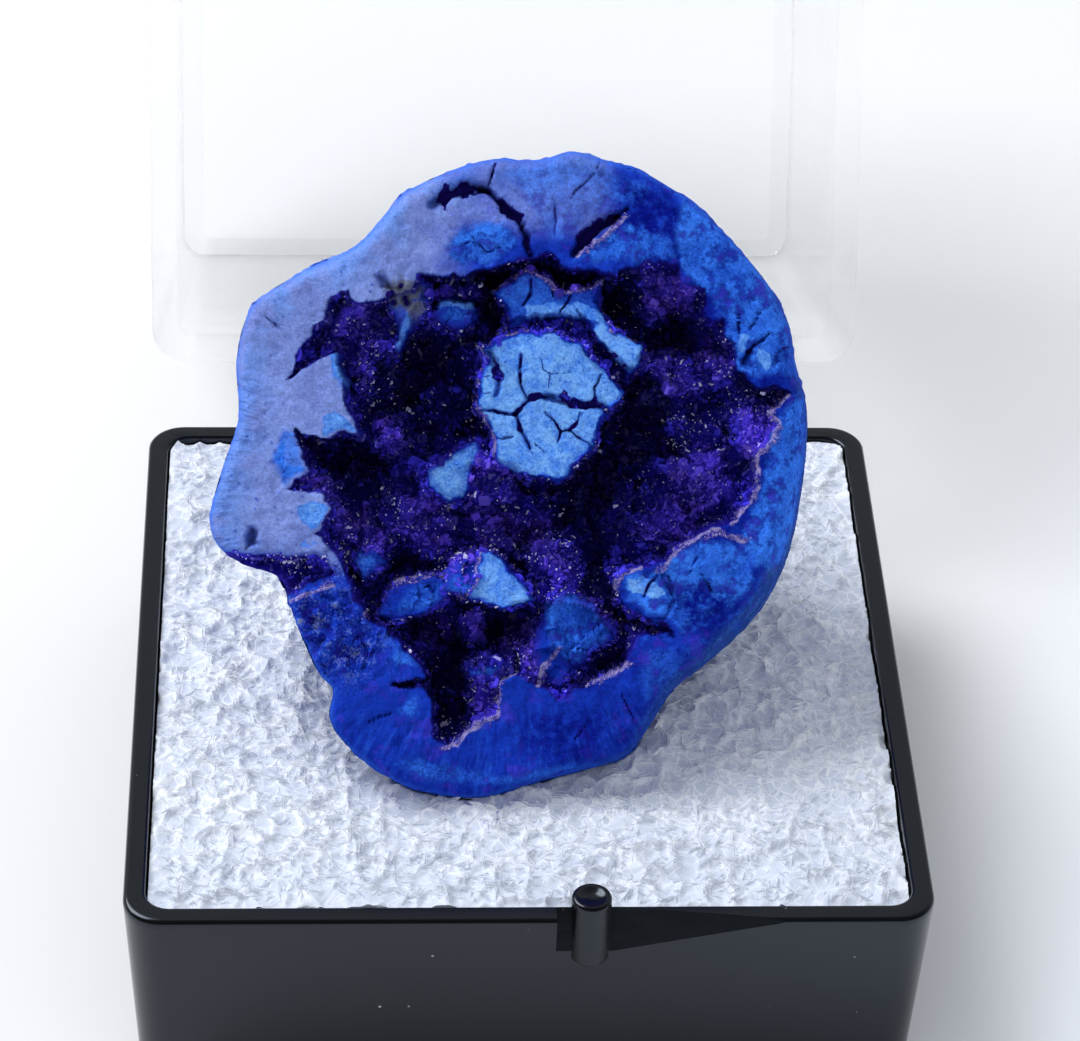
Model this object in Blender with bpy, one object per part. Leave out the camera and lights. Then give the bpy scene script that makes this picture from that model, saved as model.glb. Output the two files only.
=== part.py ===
"""Half of an azurite nodule in a hinged one-and-a-quarter-inch thumbnail specimen box.

World frame: metres, +Z up, origin at the centre of the box's underside, -Y the latch side.
The stone's face has its own frame in millimetres: u across, v up the face, w out of the face.
"""
import math

import bpy
import bmesh
import numpy as np
from mathutils import Vector
from mathutils.geometry import delaunay_2d_cdt

MM = 0.001

# Box, in millimetres. The base and the lid are square cups whose walls lean in a little.
BOX_SIDE = 31.75
BASE_HEIGHT = 9.5
LID_HEIGHT = 25.1
DRAFT = 0.45
CORNER_RADIUS = 1.5
BASE_WALL = 1.05
BASE_FLOOR = 1.2
LID_WALL = 1.2
GAP = 0.3
HALF = BOX_SIDE / 2
CORNER_SEGMENTS = 6
INNER_CORNER_RADIUS = CORNER_RADIUS - 0.6
CUT_PAST = 1.0              # how far a cutter runs past the face that it cuts through

# Hinge at the back: two lugs on the base, two ears with pins on the lid.
HINGE_Y = HALF + 1.95
HINGE_Z = 9.0
HINGE_DISC_R = 1.5
HINGE_PIN_R = 0.8
HINGE_HOLE_R = 0.9
LUG_X = (8.2, 10.2)
LUG_FOOT_Z = 5.2
LUG_TOP_Z = 9.3
LUG_ROOT = 0.9              # how far a lug reaches into the back wall
EAR_X = (5.8, 7.9)
EAR_ROOT = 0.6
EAR_HEIGHT = 3.4
PIN_ROOT = 0.5              # how far a hinge pin reaches into its ear
PIN_SHORT = 0.1             # how far it stops short of the lug's outer side
LID_OPEN_DEG = 115.0

# Latch at the front: an upright pin on the base in a thumb notch, a socket on the lid.
LATCH_X = 2.33
LATCH_R = 0.82
LATCH_Y = -HALF + 0.45
LATCH_RISE = 0.9
LATCH_FOOT = 2.3
SOCKET_R = 1.05
BOSS_R = 1.9
BOSS_HEIGHT = 2.6
NOTCH_OUTLINE = [(1.0, 0.3), (1.0, -2.3), (9.0, -1.6), (10.1, 0.3)]
NOTCH_DEPTH = 0.65

# Foam block in the base.
FOAM_TOP = 9.2
FOAM_HALF = 14.5
FOAM_CORNER_RADIUS = 0.8
FOAM_BED_CLEARANCE = 0.35
FOAM_BED_TOP = 0.6
FOAM_BED_STEP = 2.4
FOAM_BED_RINGS = 6

# Place of the stone's face: its centre, and the turn from (u, v, w) to (X, Y, Z).
FACE_CENTRE = (-0.453, -1.306, 20.073)
FACE_TURN_DEG = (52.123, -1.487, -1.862)
DOME_DEPTH = 11.2
DOME_LUMPS = 0.05
DOME_TIP = 1.02             # depth of the dome's middle point, as a share of its depth

# Edge of the face, clockwise from the crown.
OUTLINE = [
    (2.2, 13.0), (3.4, 12.7), (5.0, 12.2), (6.1, 11.6), (7.4, 10.7), (9.0, 9.1), (10.4, 7.4),
    (11.1, 6.0), (11.35, 4.6), (11.8, 3.0), (11.9, 1.6), (11.75, -0.6), (11.25, -3.1), (10.1, -5.5),
    (8.1, -7.5), (6.5, -8.7), (5.6, -10.0), (4.5, -11.4), (2.6, -12.0), (0.6, -12.45), (-1.4, -13.0),
    (-3.4, -12.8), (-5.0, -12.2), (-6.8, -10.8), (-7.45, -9.7), (-7.3, -8.6), (-7.9, -7.9), (-8.6, -6.4),
    (-9.1, -5.0), (-9.6, -4.1), (-11.0, -3.6), (-11.9, -2.9), (-12.25, -1.7), (-11.7, 0.4), (-11.1, 2.2),
    (-11.2, 4.4), (-10.9, 6.0), (-10.2, 7.1), (-8.4, 8.2), (-6.5, 9.1), (-5.4, 10.2), (-4.4, 11.3),
    (-2.6, 12.2), (-0.8, 12.7), (0.9, 12.6),
]

# Lip of the hollow, clockwise from the left tip of its upper pocket.
HOLLOW = [
    (-9.2, 3.9), (-8.7, 4.9), (-8.0, 5.9), (-7.5, 6.9), (-6.9, 7.35), (-6.1, 7.0), (-5.3, 6.9),
    (-4.5, 7.4), (-3.9, 8.0), (-2.5, 8.05), (-0.9, 8.2), (0.3, 8.65), (1.4, 8.85), (2.6, 8.25),
    (4.1, 8.0), (5.0, 8.6), (6.5, 8.55), (6.7, 7.7), (7.6, 7.4), (7.6, 6.4), (8.2, 6.1),
    (8.8, 5.2), (8.95, 4.2), (9.6, 3.6), (10.7, 3.65), (11.05, 3.25), (10.3, 2.5), (10.55, 1.7),
    (9.75, 0.9), (9.65, 0.0), (9.35, -1.1), (8.6, -2.0), (8.0, -2.3), (7.0, -2.65), (6.1, -3.4),
    (5.0, -3.6), (4.1, -4.1), (4.2, -5.1), (5.4, -5.8), (6.4, -6.4), (5.0, -6.45), (4.6, -7.5),
    (3.4, -8.2), (1.7, -9.15), (0.8, -8.2), (-0.4, -7.9), (-0.65, -9.6), (-1.8, -10.0), (-2.7, -10.85),
    (-3.3, -10.4), (-3.55, -8.5), (-5.0, -8.35), (-4.9, -8.0), (-3.5, -7.9), (-4.5, -6.9), (-5.1, -6.0),
    (-6.0, -5.9), (-6.5, -4.6), (-7.0, -3.5), (-8.0, -2.4), (-7.4, -1.4), (-8.0, -0.7), (-9.2, -0.5),
    (-8.2, 0.1), (-8.6, 1.2), (-8.95, 1.8), (-7.6, 1.55), (-6.3, 1.65), (-6.75, 2.9), (-6.9, 3.7),
    (-7.2, 4.8), (-8.3, 4.15),
]

# Depth of the hollow's floor: (u, v, w).
FLOOR_DEPTHS = [
    (-8.8, 4.3, -1.5), (-7.6, 5.5, -2.6), (-7.0, 6.7, -2.2), (-5.7, 6.1, -2.4), (-5.3, 5.4, -2.8),
    (-5.6, 4.4, -5.2), (-6.5, 4.2, -2.8), (-6.4, 3.2, -4.2), (-4.2, 4.8, -6.8), (-4.5, 3.2, -6.5),
    (-5.8, 2.6, -5.8), (-4.9, 1.5, -4.8), (-3.0, 3.4, -5.2), (-3.2, 1.9, -5.6), (-2.2, 4.8, -5.8),
    (-7.6, 0.8, -6.0), (-6.2, 0.6, -6.6), (-8.6, -0.5, -1.5), (-6.5, -1.2, -4.6), (-4.8, -1.8, -3.8),
    (-3.3, -2.0, -4.5), (-7.0, -2.2, -2.8), (-5.5, -2.6, -3.6), (-3.2, -0.3, -4.6), (0.0, -2.0, -5.5),
    (1.8, -1.6, -5.8), (3.2, -0.6, -6.8), (4.2, 1.0, -7.0), (4.8, 2.5, -6.8), (-1.5, -2.0, -5.0),
    (4.2, 7.2, -6.0), (5.3, 7.9, -3.6), (5.6, 6.9, -4.2), (6.9, 7.0, -3.6), (6.5, 5.8, -6.8),
    (7.7, 5.6, -5.2), (8.2, 4.6, -2.8), (7.0, 4.6, -4.0), (5.6, 4.0, -4.6), (5.8, 2.4, -6.4),
    (6.8, 2.4, -4.4), (7.8, 3.3, -5.0), (8.0, 1.8, -3.6), (9.5, 2.2, -1.5), (10.4, 3.4, -2.6),
    (6.4, 0.8, -5.4), (8.3, 0.2, -3.0), (6.2, -1.4, -4.2), (7.3, -1.9, -4.8), (8.2, -1.2, -3.4),
    (5.4, -2.4, -3.6), (4.2, -1.6, -5.6), (3.2, -3.6, -5.2), (5.6, -6.1, -1.6), (3.9, -6.0, -3.4),
    (3.8, -7.4, -3.4), (2.3, -8.3, -2.2), (0.4, -7.5, -1.6), (-0.6, -6.2, -5.0), (-2.9, -8.0, -5.2),
    (-2.6, -9.6, -4.5), (-1.2, -9.0, -2.2), (-3.8, -6.6, -4.8), (-4.6, -8.2, -1.6), (-2.5, -5.6, -4.4),
    (-5.0, -3.9, -5.6), (-6.1, -4.6, -4.4), (-2.4, -4.8, -3.6),
]

# Plates and blocks that stand in the hollow or stand off the face:
# name, (height w, slope along u, slope along v), width of the side in plan, outline.
BLOCKS = [
    ("upper plate", (-0.6, 0.02, -0.10), 0.5, [
        (-0.9, 7.3), (-0.1, 7.8), (0.4, 8.2), (1.1, 8.0), (1.7, 7.3), (2.9, 7.4), (3.5, 7.7), (3.45, 6.5),
        (3.9, 5.8), (5.1, 5.3), (5.0, 4.7), (4.6, 3.95), (3.9, 4.8), (3.2, 5.4), (2.8, 6.2), (1.9, 6.5),
        (0.9, 6.25), (-0.2, 5.9), (-0.3, 6.7)]),
    ("gap floor", (-1.7, 0.0, 0.0), 0.4, [
        (0.3, 6.2), (1.5, 6.4), (2.7, 6.2), (3.2, 5.3), (4.5, 4.1), (3.9, 3.7), (2.6, 4.9), (1.0, 5.5),
        (-0.6, 5.5), (-0.7, 5.9)]),
    ("island", (-0.25, 0.01, 0.03), 0.45, [
        (-1.2, 5.1), (-0.9, 5.45), (0.3, 5.8), (2.0, 5.5), (2.6, 5.2), (2.8, 4.75), (3.9, 3.85),
        (4.4, 3.35), (3.9, 2.55), (3.45, 2.1), (3.15, 1.1), (2.3, 0.25), (1.8, -0.35), (0.9, -0.05),
        (-0.6, 0.3), (-0.85, 0.7), (-0.95, 1.9), (-1.45, 2.8), (-1.5, 3.7), (-1.1, 4.4), (-1.5, 5.0)]),
    ("pedestal", (-2.2, 0.25, 0.45), 0.6, [
        (-3.6, 0.2), (-2.3, 1.0), (-1.5, 1.35), (-0.9, 0.5), (-0.2, 0.3), (-0.3, -1.0), (-2.2, -1.1),
        (-2.8, -1.1), (-3.6, -0.5)]),
    ("small ledge", (-1.5, 0.0, 0.25), 0.4, [
        (-3.3, 6.5), (-3.0, 7.1), (-1.8, 6.9), (-1.5, 6.3), (-2.1, 5.85), (-2.9, 6.05)]),
    ("back ledge", (-2.4, 0.0, 0.1), 0.4, [(-3.1, 7.8), (-1.2, 7.8), (-1.3, 7.0), (-3.2, 7.2)]),
    ("grey lump", (-0.8, -0.1, 0.15), 0.5, [
        (-5.0, 5.3), (-4.8, 6.1), (-5.1, 6.9), (-4.4, 7.4), (-3.9, 7.8), (-3.4, 7.3), (-3.5, 6.6),
        (-4.2, 6.1), (-4.7, 5.2)]),
    ("left block", (-1.0, 0.05, -0.1), 0.5, [
        (-5.3, -5.0), (-4.9, -4.5), (-3.6, -4.15), (-2.8, -4.05), (-2.6, -4.9), (-3.6, -5.7), (-4.8, -5.8),
        (-5.6, -5.7)]),
    ("three-cornered block", (-0.9, 0.0, -0.15), 0.5, [
        (-1.3, -3.1), (-0.9, -3.05), (0.3, -4.3), (0.85, -5.05), (0.0, -5.15), (-0.6, -5.45), (-1.9, -4.9),
        (-2.8, -4.7), (-2.9, -3.9), (-2.4, -3.4)]),
    ("crystal pillar", (-2.6, 0.0, -0.1), 0.5, [(-2.4, -5.7), (-1.5, -5.6), (-1.2, -6.6), (-2.0, -7.0)]),
    ("middle rock", (-2.0, 0.0, 0.1), 0.7, [
        (0.3, -3.4), (1.4, -2.7), (2.3, -2.9), (2.6, -3.8), (2.4, -4.7), (1.2, -4.8)]),
    ("lower block", (-1.2, -0.1, -0.12), 0.6, [
        (1.2, -5.0), (2.8, -4.9), (4.0, -5.8), (3.9, -6.6), (2.9, -7.2), (2.0, -8.6), (1.2, -8.3),
        (0.6, -7.0), (0.8, -6.2)]),
    ("low ledge", (-0.9, 0.0, -0.05), 0.4, [
        (-2.0, -7.7), (-1.2, -7.2), (-0.2, -7.3), (-0.2, -7.9), (-0.8, -8.3), (-1.8, -8.2)]),
    ("right lump", (-0.35, 0.0, -0.02), 0.4, [
        (4.1, -4.6), (4.3, -3.9), (5.0, -3.65), (5.8, -3.9), (6.3, -4.9), (6.0, -5.7), (5.2, -5.6),
        (4.4, -5.2)]),
    ("blue facet", (-1.3, -0.2, 0.1), 0.5, [(-6.6, -3.3), (-5.6, -2.9), (-5.3, -3.5), (-6.1, -4.2)]),
    ("druse mound", (-3.4, 0.0, 0.1), 0.9, [(5.2, 4.7), (6.1, 4.8), (6.3, 3.7), (5.5, 3.3)]),
    ("floor mound", (-3.6, 0.1, 0.1), 0.9, [(-5.6, 2.0), (-4.8, 2.0), (-4.7, 1.1), (-5.4, 1.1)]),
]

# Pits in the wall round the hollow: depth, outline.
WALL_PITS = [
    (-0.7, [(-5.6, 8.1), (-5.2, 8.15), (-4.6, 7.8), (-4.7, 7.35), (-5.4, 7.3)]),
    (-1.0, [(-10.8, -2.0), (-10.3, -2.1), (-10.1, -2.8), (-10.8, -3.0)]),
    (-1.0, [(8.9, 4.9), (9.5, 5.5), (10.1, 5.7), (9.7, 5.1), (9.5, 4.2), (9.1, 4.2)]),
]

# Broken crystalline edge below the left lobe.
BREAK = [(-12.3, -2.8), (-10.9, -3.0), (-9.4, -3.0), (-7.6, -3.1), (-7.1, -3.9), (-8.6, -4.8), (-9.9, -5.4),
         (-12.3, -4.5)]
BREAK_DEPTH = -1.3

# Wide cracks in the wall and the plates: (half width, depth, route).
CRACKS = [
    (0.36, 1.7, [(-3.5, 10.75), (-2.7, 11.3), (-1.8, 11.55), (-1.1, 11.45), (-0.6, 10.9), (0.1, 10.25),
                 (0.45, 9.6), (0.65, 8.8)]),
    (0.3, 1.8, [(2.4, 8.85), (2.9, 9.5), (3.6, 10.1), (4.4, 10.6)]),
    (0.12, 0.5, [(-1.1, 11.4), (-0.8, 12.4)]),
    (0.2, 0.7, [(-1.4, 2.65), (-0.4, 2.45), (0.0, 2.4), (0.5, 3.0), (1.5, 3.2), (2.4, 2.85), (3.6, 2.7)]),
    (0.15, 0.6, [(0.2, 4.8), (0.15, 4.0), (0.45, 3.05)]),
    (0.15, 0.6, [(0.0, 2.4), (0.25, 1.7), (0.65, 1.0)]),
    (0.18, 0.6, [(-0.95, 5.0), (-0.6, 4.1), (-0.85, 3.0)]),
    (0.12, 0.5, [(1.65, 1.3), (1.85, 1.75), (2.6, 1.4), (3.1, 1.1)]),
    (0.12, 0.5, [(0.6, 7.8), (0.6, 7.1), (0.25, 6.7)]),
    (0.12, 0.5, [(5.7, -4.0), (5.3, -4.5), (5.15, -4.95)]),
]

# The skin beyond the face drops away most at the lower right.
SKIN_CENTRE_DEG = -25.0
SKIN_SPREAD_DEG = 48.0
SKIN_DROP = 4.2
SKIN_WIDTH = 0.9
EDGE_DROP = 0.9
EDGE_WIDTH = 0.55

# Net of triangles over the face.
LOOP_STEP = 0.68
FILL_STEP = 0.72
FILL_EDGE_CLEARANCE = 0.75
FILL_LOOP_CLEARANCE = 0.4
EDGE_RING = 0.45
MERGE_REACH = 0.06
HOLLOW_WALL = 0.6
WALL_PIT_SLOPE = 0.35
BREAK_SLOPE = 0.6
DOME_RINGS = 8

# Crust of small crystals on the hollow's floor.
CRUST_LIFT = 0.3
CRUST_THICKNESS = (0.35, 0.55)
CRUST_LIP_MARGIN = 0.3
CRYSTAL_SHARE = 0.5
CRYSTAL_HEIGHTS = (0.35, 0.9)
CRUSTED_BLOCKS = ("druse mound", "floor mound", "crystal pillar", "middle rock")
SEED = 11

# Finishes: colour, roughness, metallic, alpha.
AZURITE = ((0.045, 0.16, 0.72), 0.6, 0.0, 1.0)
DRUSE = ((0.02, 0.01, 0.22), 0.3, 0.0, 1.0)
BLACK_PLASTIC = ((0.012, 0.013, 0.016), 0.3, 0.0, 1.0)
CLEAR_PLASTIC = ((0.95, 0.97, 1.0), 0.05, 0.0, 0.2)
FOAM = ((0.86, 0.89, 0.93), 0.55, 0.0, 1.0)


# ---------------------------------------------------------------- face relief (millimetres)

def smooth_step(low, high, value):
    """0 below low, 1 above high, and a smooth cubic between them."""
    t = np.clip((value - low) / (high - low), 0.0, 1.0)
    return t * t * (3.0 - 2.0 * t)


def route_distance(points, route, closed):
    """Distance from each point to the nearest stretch of a route."""
    starts = route if closed else route[:-1]
    ends = np.roll(route, -1, axis=0) if closed else route[1:]
    span = ends - starts
    offset = points[:, None, :] - starts[None]
    share = np.clip((offset * span).sum(2) / (span * span).sum(1), 0.0, 1.0)
    return np.linalg.norm(offset - share[..., None] * span, axis=2).min(1)


def depth_inside(points, outline):
    """Distance from the outline, positive inside it and negative outside."""
    x, y = points[:, 0][:, None], points[:, 1][:, None]
    x0, y0 = outline[:, 0], outline[:, 1]
    x1, y1 = np.roll(x0, -1), np.roll(y0, -1)
    rise = np.where(y1 == y0, 1e-9, y1 - y0)
    crossings = ((y0 > y) != (y1 > y)) & (x < (x1 - x0) * (y - y0) / rise + x0)
    inside = crossings.sum(1) % 2 == 1
    return np.where(inside, 1.0, -1.0) * route_distance(points, outline, True)


def floor_height(points):
    """Height of the hollow's floor, a mean of the stated depths weighted by nearness."""
    marks = np.array(FLOOR_DEPTHS)
    gap = ((points[:, None, :] - marks[None, :, :2]) ** 2).sum(2)
    weight = 1.0 / (gap + 0.15) ** 1.7
    return (weight * marks[:, 2]).sum(1) / weight.sum(1)


def skin_share(points):
    """1 where the outer skin rolls over at the lower right, 0 away from there."""
    angle = np.degrees(np.arctan2(points[:, 1], points[:, 0]))
    return np.exp(-((angle - SKIN_CENTRE_DEG) / SKIN_SPREAD_DEG) ** 2)


def edge_fall(points):
    """How far the face falls away close to its outer edge."""
    share = skin_share(points)
    drop = EDGE_DROP + SKIN_DROP * share
    width = EDGE_WIDTH + SKIN_WIDTH * share
    reach = np.clip(depth_inside(points, smooth_outline()) / width, 0.0, 1.0)
    return drop * (1.0 - np.sqrt(1.0 - (1.0 - reach) ** 2))


def face_swell(points):
    """Gentle rise and fall of the whole face."""
    u, v = points[:, 0], points[:, 1]
    return 0.25 * np.sin(0.35 * u + 0.8) * np.cos(0.3 * v - 0.4) + 0.12 * np.sin(0.9 * v + 0.5 * u)


def block_top(points, plane, outline):
    """Height of a block's sloping top."""
    height, slope_u, slope_v = plane
    centre = outline.mean(0)
    return height + slope_u * (points[:, 0] - centre[0]) + slope_v * (points[:, 1] - centre[1])


def face_height(points):
    """Height w of the stone's front at each (u, v)."""
    height = face_swell(points) - edge_fall(points)
    for depth, outline in WALL_PITS:
        share = smooth_step(0.0, WALL_PIT_SLOPE, depth_inside(points, np.array(outline)))
        height = height + depth * share
    share = smooth_step(0.0, BREAK_SLOPE, depth_inside(points, np.array(BREAK)))
    height = height + BREAK_DEPTH * share
    share = smooth_step(0.0, HOLLOW_WALL, depth_inside(points, np.array(HOLLOW)))
    height = height + (floor_height(points) - height) * share
    for _, plane, side, outline in BLOCKS:
        outline = np.array(outline)
        top = block_top(points, plane, outline)
        share = smooth_step(-side, 0.0, depth_inside(points, outline))
        height = height + (top - height) * share
    for half_width, depth, route in CRACKS:
        away = route_distance(points, np.array(route), False)
        height = height - depth * np.clip(1.0 - away / half_width, 0.0, 1.0)
    return height


def smooth_outline(step=None):
    """The face's edge as a closed Catmull-Rom curve, with points about step apart."""
    marks = np.array(OUTLINE)
    before, after, beyond = np.roll(marks, 1, 0), np.roll(marks, -1, 0), np.roll(marks, -2, 0)
    share = np.linspace(0.0, 1.0, 4, endpoint=False)[:, None, None]
    curve = 0.5 * (2 * marks + share * (after - before)
                   + share ** 2 * (2 * before - 5 * marks + 4 * after - beyond)
                   + share ** 3 * (3 * marks - before - 3 * after + beyond))
    curve = curve.transpose(1, 0, 2).reshape(-1, 2)
    return curve if step is None else even_points(curve, step, True)


def even_points(route, step, closed):
    """Points along a route about step apart, ends included."""
    path = np.vstack([route, route[:1]]) if closed else route
    lengths = np.concatenate([[0.0], np.cumsum(np.linalg.norm(np.diff(path, axis=0), axis=1))])
    count = max(3, int(round(lengths[-1] / step)))
    stations = np.linspace(0.0, lengths[-1], count + 1)
    spread = np.stack([np.interp(stations, lengths, path[:, axis]) for axis in (0, 1)], 1)
    return spread[:-1] if closed else spread


def outset(outline, distance):
    """An outline moved outwards by a distance, along the mean of its edges' normals."""
    ahead = np.roll(outline, -1, 0) - np.roll(outline, 1, 0)
    normal = np.stack([ahead[:, 1], -ahead[:, 0]], 1)
    normal /= np.linalg.norm(normal, axis=1)[:, None]
    x, y = outline[:, 0], outline[:, 1]
    turn = np.sum(x * np.roll(y, -1) - np.roll(x, -1) * y)
    return outline + normal * distance * (1.0 if turn > 0 else -1.0)


# ---------------------------------------------------------------- meshes

def face_net():
    """Triangles over the face whose edges follow the outline, the lip, the blocks and the cracks."""
    rim = smooth_outline(LOOP_STEP)
    loops = [(even_points(np.array(HOLLOW), LOOP_STEP, True), True)]
    loops.append((outset(loops[0][0], -HOLLOW_WALL), True))
    for _, _, side, outline in BLOCKS:
        loop = even_points(np.array(outline), LOOP_STEP, True)
        loops += [(loop, True), (outset(loop, side), True)]
    for _, outline in WALL_PITS:
        loop = even_points(np.array(outline), LOOP_STEP, True)
        loops.append((loop, True))
    for half_width, _, route in CRACKS:
        loops.append((even_points(np.array(route), LOOP_STEP, False), False))
        loops.append((even_points(crack_lane(route, half_width), LOOP_STEP, True), True))
    edge_ring = outset(rim, -EDGE_RING)
    fixed = np.concatenate([rim] + [loop for loop, _ in loops] + [edge_ring])
    fill = fill_points(fixed)
    coords = [Vector(point) for point in np.concatenate([fixed, fill])]
    edges, start = ring_edges(0, len(rim), True), len(rim)
    for loop, closed in loops:
        edges += ring_edges(start, len(loop), closed)
        start += len(loop)
    net = delaunay_2d_cdt(coords, edges, [], 1, MERGE_REACH)
    return np.array([tuple(v) for v in net[0]]), [tuple(f) for f in net[2]]


def crack_lane(route, half_width):
    """A narrow closed lane round an open route."""
    route = np.array(route)
    ahead = np.gradient(route, axis=0)
    normal = np.stack([ahead[:, 1], -ahead[:, 0]], 1)
    normal /= np.linalg.norm(normal, axis=1)[:, None]
    return np.concatenate([route + normal * half_width, (route - normal * half_width)[::-1]])


def ring_edges(start, count, closed):
    """Edges that join count points in order."""
    last = count if closed else count - 1
    return [(start + i, start + (i + 1) % count) for i in range(last)]


def fill_points(fixed):
    """A staggered field of points over the face, clear of the fixed ones."""
    (low_u, low_v), (high_u, high_v) = fixed.min(0), fixed.max(0)
    rows = np.arange(low_v, high_v, FILL_STEP * math.sqrt(0.75))
    field = []
    for index, v in enumerate(rows):
        u = np.arange(low_u, high_u, FILL_STEP) + (FILL_STEP / 2 if index % 2 else 0.0)
        field.append(np.stack([u, np.full_like(u, v)], 1))
    field = np.concatenate(field)
    field = field[depth_inside(field, smooth_outline()) > FILL_EDGE_CLEARANCE]
    nearest = np.linalg.norm(field[:, None] - fixed[None], axis=2).min(1)
    return field[nearest > FILL_LOOP_CLEARANCE]


def dome_point(ring_share, rim, rim_height):
    """Ring of the rounded back: the rim scaled towards the middle and sunk as a soft, lumpy dome."""
    lumps = 1.0 + DOME_LUMPS * np.sin(3.1 * np.arctan2(rim[:, 1], rim[:, 0]) + 4.0 * ring_share)
    sink = (1.0 - ring_share ** 2.5) ** 0.55
    return rim * ring_share, rim_height * ring_share ** 2 - DOME_DEPTH * sink * lumps


def build_stone():
    """The nodule: relief in front, rounded back, one closed body."""
    flat, triangles = face_net()
    height = face_height(flat)
    mesh = bmesh.new()
    front = [mesh.verts.new((u * MM, v * MM, w * MM)) for (u, v), w in zip(flat, height)]
    for triangle in triangles:
        mesh.faces.new([front[i] for i in triangle])
    mesh.edges.ensure_lookup_table()
    boundary = ordered_boundary(mesh)
    edge = np.array([vert.co[:2] for vert in boundary]) / MM
    edge_height = np.array([vert.co.z for vert in boundary]) / MM
    previous = boundary
    for ring in range(1, DOME_RINGS):
        share = math.cos(0.5 * math.pi * ring / DOME_RINGS)
        place, sunk = dome_point(share, edge, edge_height)
        current = [mesh.verts.new((u * MM, v * MM, w * MM)) for (u, v), w in zip(place, sunk)]
        bridge(mesh, previous, current)
        previous = current
    close_tip(mesh, previous, -DOME_DEPTH * DOME_TIP)
    place_on_face(finish_mesh("azurite_nodule", mesh, AZURITE))
    return flat, triangles, height


def close_tip(mesh, ring, height):
    """Triangles from a ring to one point on the face frame's w axis."""
    tip = mesh.verts.new((0.0, 0.0, height * MM))
    for index, vert in enumerate(ring):
        mesh.faces.new((vert, ring[(index + 1) % len(ring)], tip))


def ordered_boundary(mesh):
    """The open edge's vertices in order round it."""
    links = {}
    for edge in mesh.edges:
        if edge.is_boundary:
            a, b = edge.verts
            links.setdefault(a, []).append(b)
            links.setdefault(b, []).append(a)
    start = next(iter(links))
    ring, previous, current = [start], None, start
    while True:
        following = links[current][0] if links[current][0] is not previous else links[current][1]
        if following is start:
            return ring
        ring.append(following)
        previous, current = current, following


def bridge(mesh, outer, inner):
    """Quads between two rings of the same count."""
    count = len(outer)
    for index in range(count):
        after = (index + 1) % count
        mesh.faces.new((outer[index], outer[after], inner[after], inner[index]))


def build_crust(flat, triangles, height):
    """Crust of small pointed crystals on the hollow's floor, lifted clear of the stone."""
    keep = depth_inside(flat, np.array(HOLLOW)) > CRUST_LIP_MARGIN
    for name, _, side, outline in BLOCKS:
        if name not in CRUSTED_BLOCKS:
            keep &= depth_inside(flat, np.array(outline)) < -side / 2
    chosen = largest_patch([t for t in triangles if all(keep[i] for i in t)])
    used = sorted({i for t in chosen for i in t})
    rng = np.random.default_rng(SEED)
    mesh = bmesh.new()
    low = {}
    for i in used:
        low[i] = mesh.verts.new(Vector((*flat[i], height[i] + CRUST_LIFT)) * MM)
    high = {i: mesh.verts.new(low[i].co + Vector((0, 0, rng.uniform(*CRUST_THICKNESS) * MM))) for i in used}
    sides = {}
    for a, b, c in chosen:
        mesh.faces.new((low[c], low[b], low[a]))
        for pair in ((a, b), (b, c), (c, a)):
            sides[pair] = sides.get(pair, 0) + 1
    for a, b, c in chosen:
        corners = [high[a], high[b], high[c]]
        if rng.random() < CRYSTAL_SHARE:
            middle = sum((vert.co for vert in corners), Vector()) / 3
            rise = rng.uniform(*CRYSTAL_HEIGHTS) * MM
            tip = mesh.verts.new(middle + Vector((0, 0, rise)))
            for first, second in ((0, 1), (1, 2), (2, 0)):
                mesh.faces.new((corners[first], corners[second], tip))
        else:
            mesh.faces.new(corners)
    for a, b in sides:
        if (b, a) not in sides:
            mesh.faces.new((low[a], low[b], high[b], high[a]))
    place_on_face(finish_mesh("azurite_druse", mesh, DRUSE))


def largest_patch(triangles):
    """The biggest set of triangles joined edge to edge, with no corner pinched to one point."""
    triangles = list(triangles)
    while True:
        triangles = biggest_island(triangles)
        pinched = pinched_corners(triangles)
        if not pinched:
            return triangles
        triangles = [t for t in triangles if not pinched.intersection(t)]


def biggest_island(triangles):
    """The largest group of triangles that share edges."""
    owners = {}
    for index, triangle in enumerate(triangles):
        for k in range(3):
            key = frozenset((triangle[k], triangle[(k + 1) % 3]))
            owners.setdefault(key, []).append(index)
    group = [-1] * len(triangles)
    best = []
    for seed in range(len(triangles)):
        if group[seed] >= 0:
            continue
        stack, members = [seed], []
        group[seed] = seed
        while stack:
            index = stack.pop()
            members.append(index)
            for k in range(3):
                key = frozenset((triangles[index][k], triangles[index][(k + 1) % 3]))
                for other in owners[key]:
                    if group[other] < 0:
                        group[other] = seed
                        stack.append(other)
        if len(members) > len(best):
            best = members
    return [triangles[i] for i in best]


def pinched_corners(triangles):
    """Vertices where more than two open edges meet."""
    count = {}
    for triangle in triangles:
        for k in range(3):
            key = frozenset((triangle[k], triangle[(k + 1) % 3]))
            count[key] = count.get(key, 0) + 1
    open_ends = {}
    for key, uses in count.items():
        if uses == 1:
            for vert in key:
                open_ends[vert] = open_ends.get(vert, 0) + 1
    return {vert for vert, uses in open_ends.items() if uses > 2}


def finish_mesh(name, mesh, material):
    """Turn a bmesh into a named object with its faces pointing out."""
    bmesh.ops.recalc_face_normals(mesh, faces=mesh.faces)
    data = bpy.data.meshes.new(name)
    mesh.to_mesh(data)
    mesh.free()
    thing = bpy.data.objects.new(name, data)
    data.materials.append(make_material(name, material))
    parts.objects.link(thing)
    return thing


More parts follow.
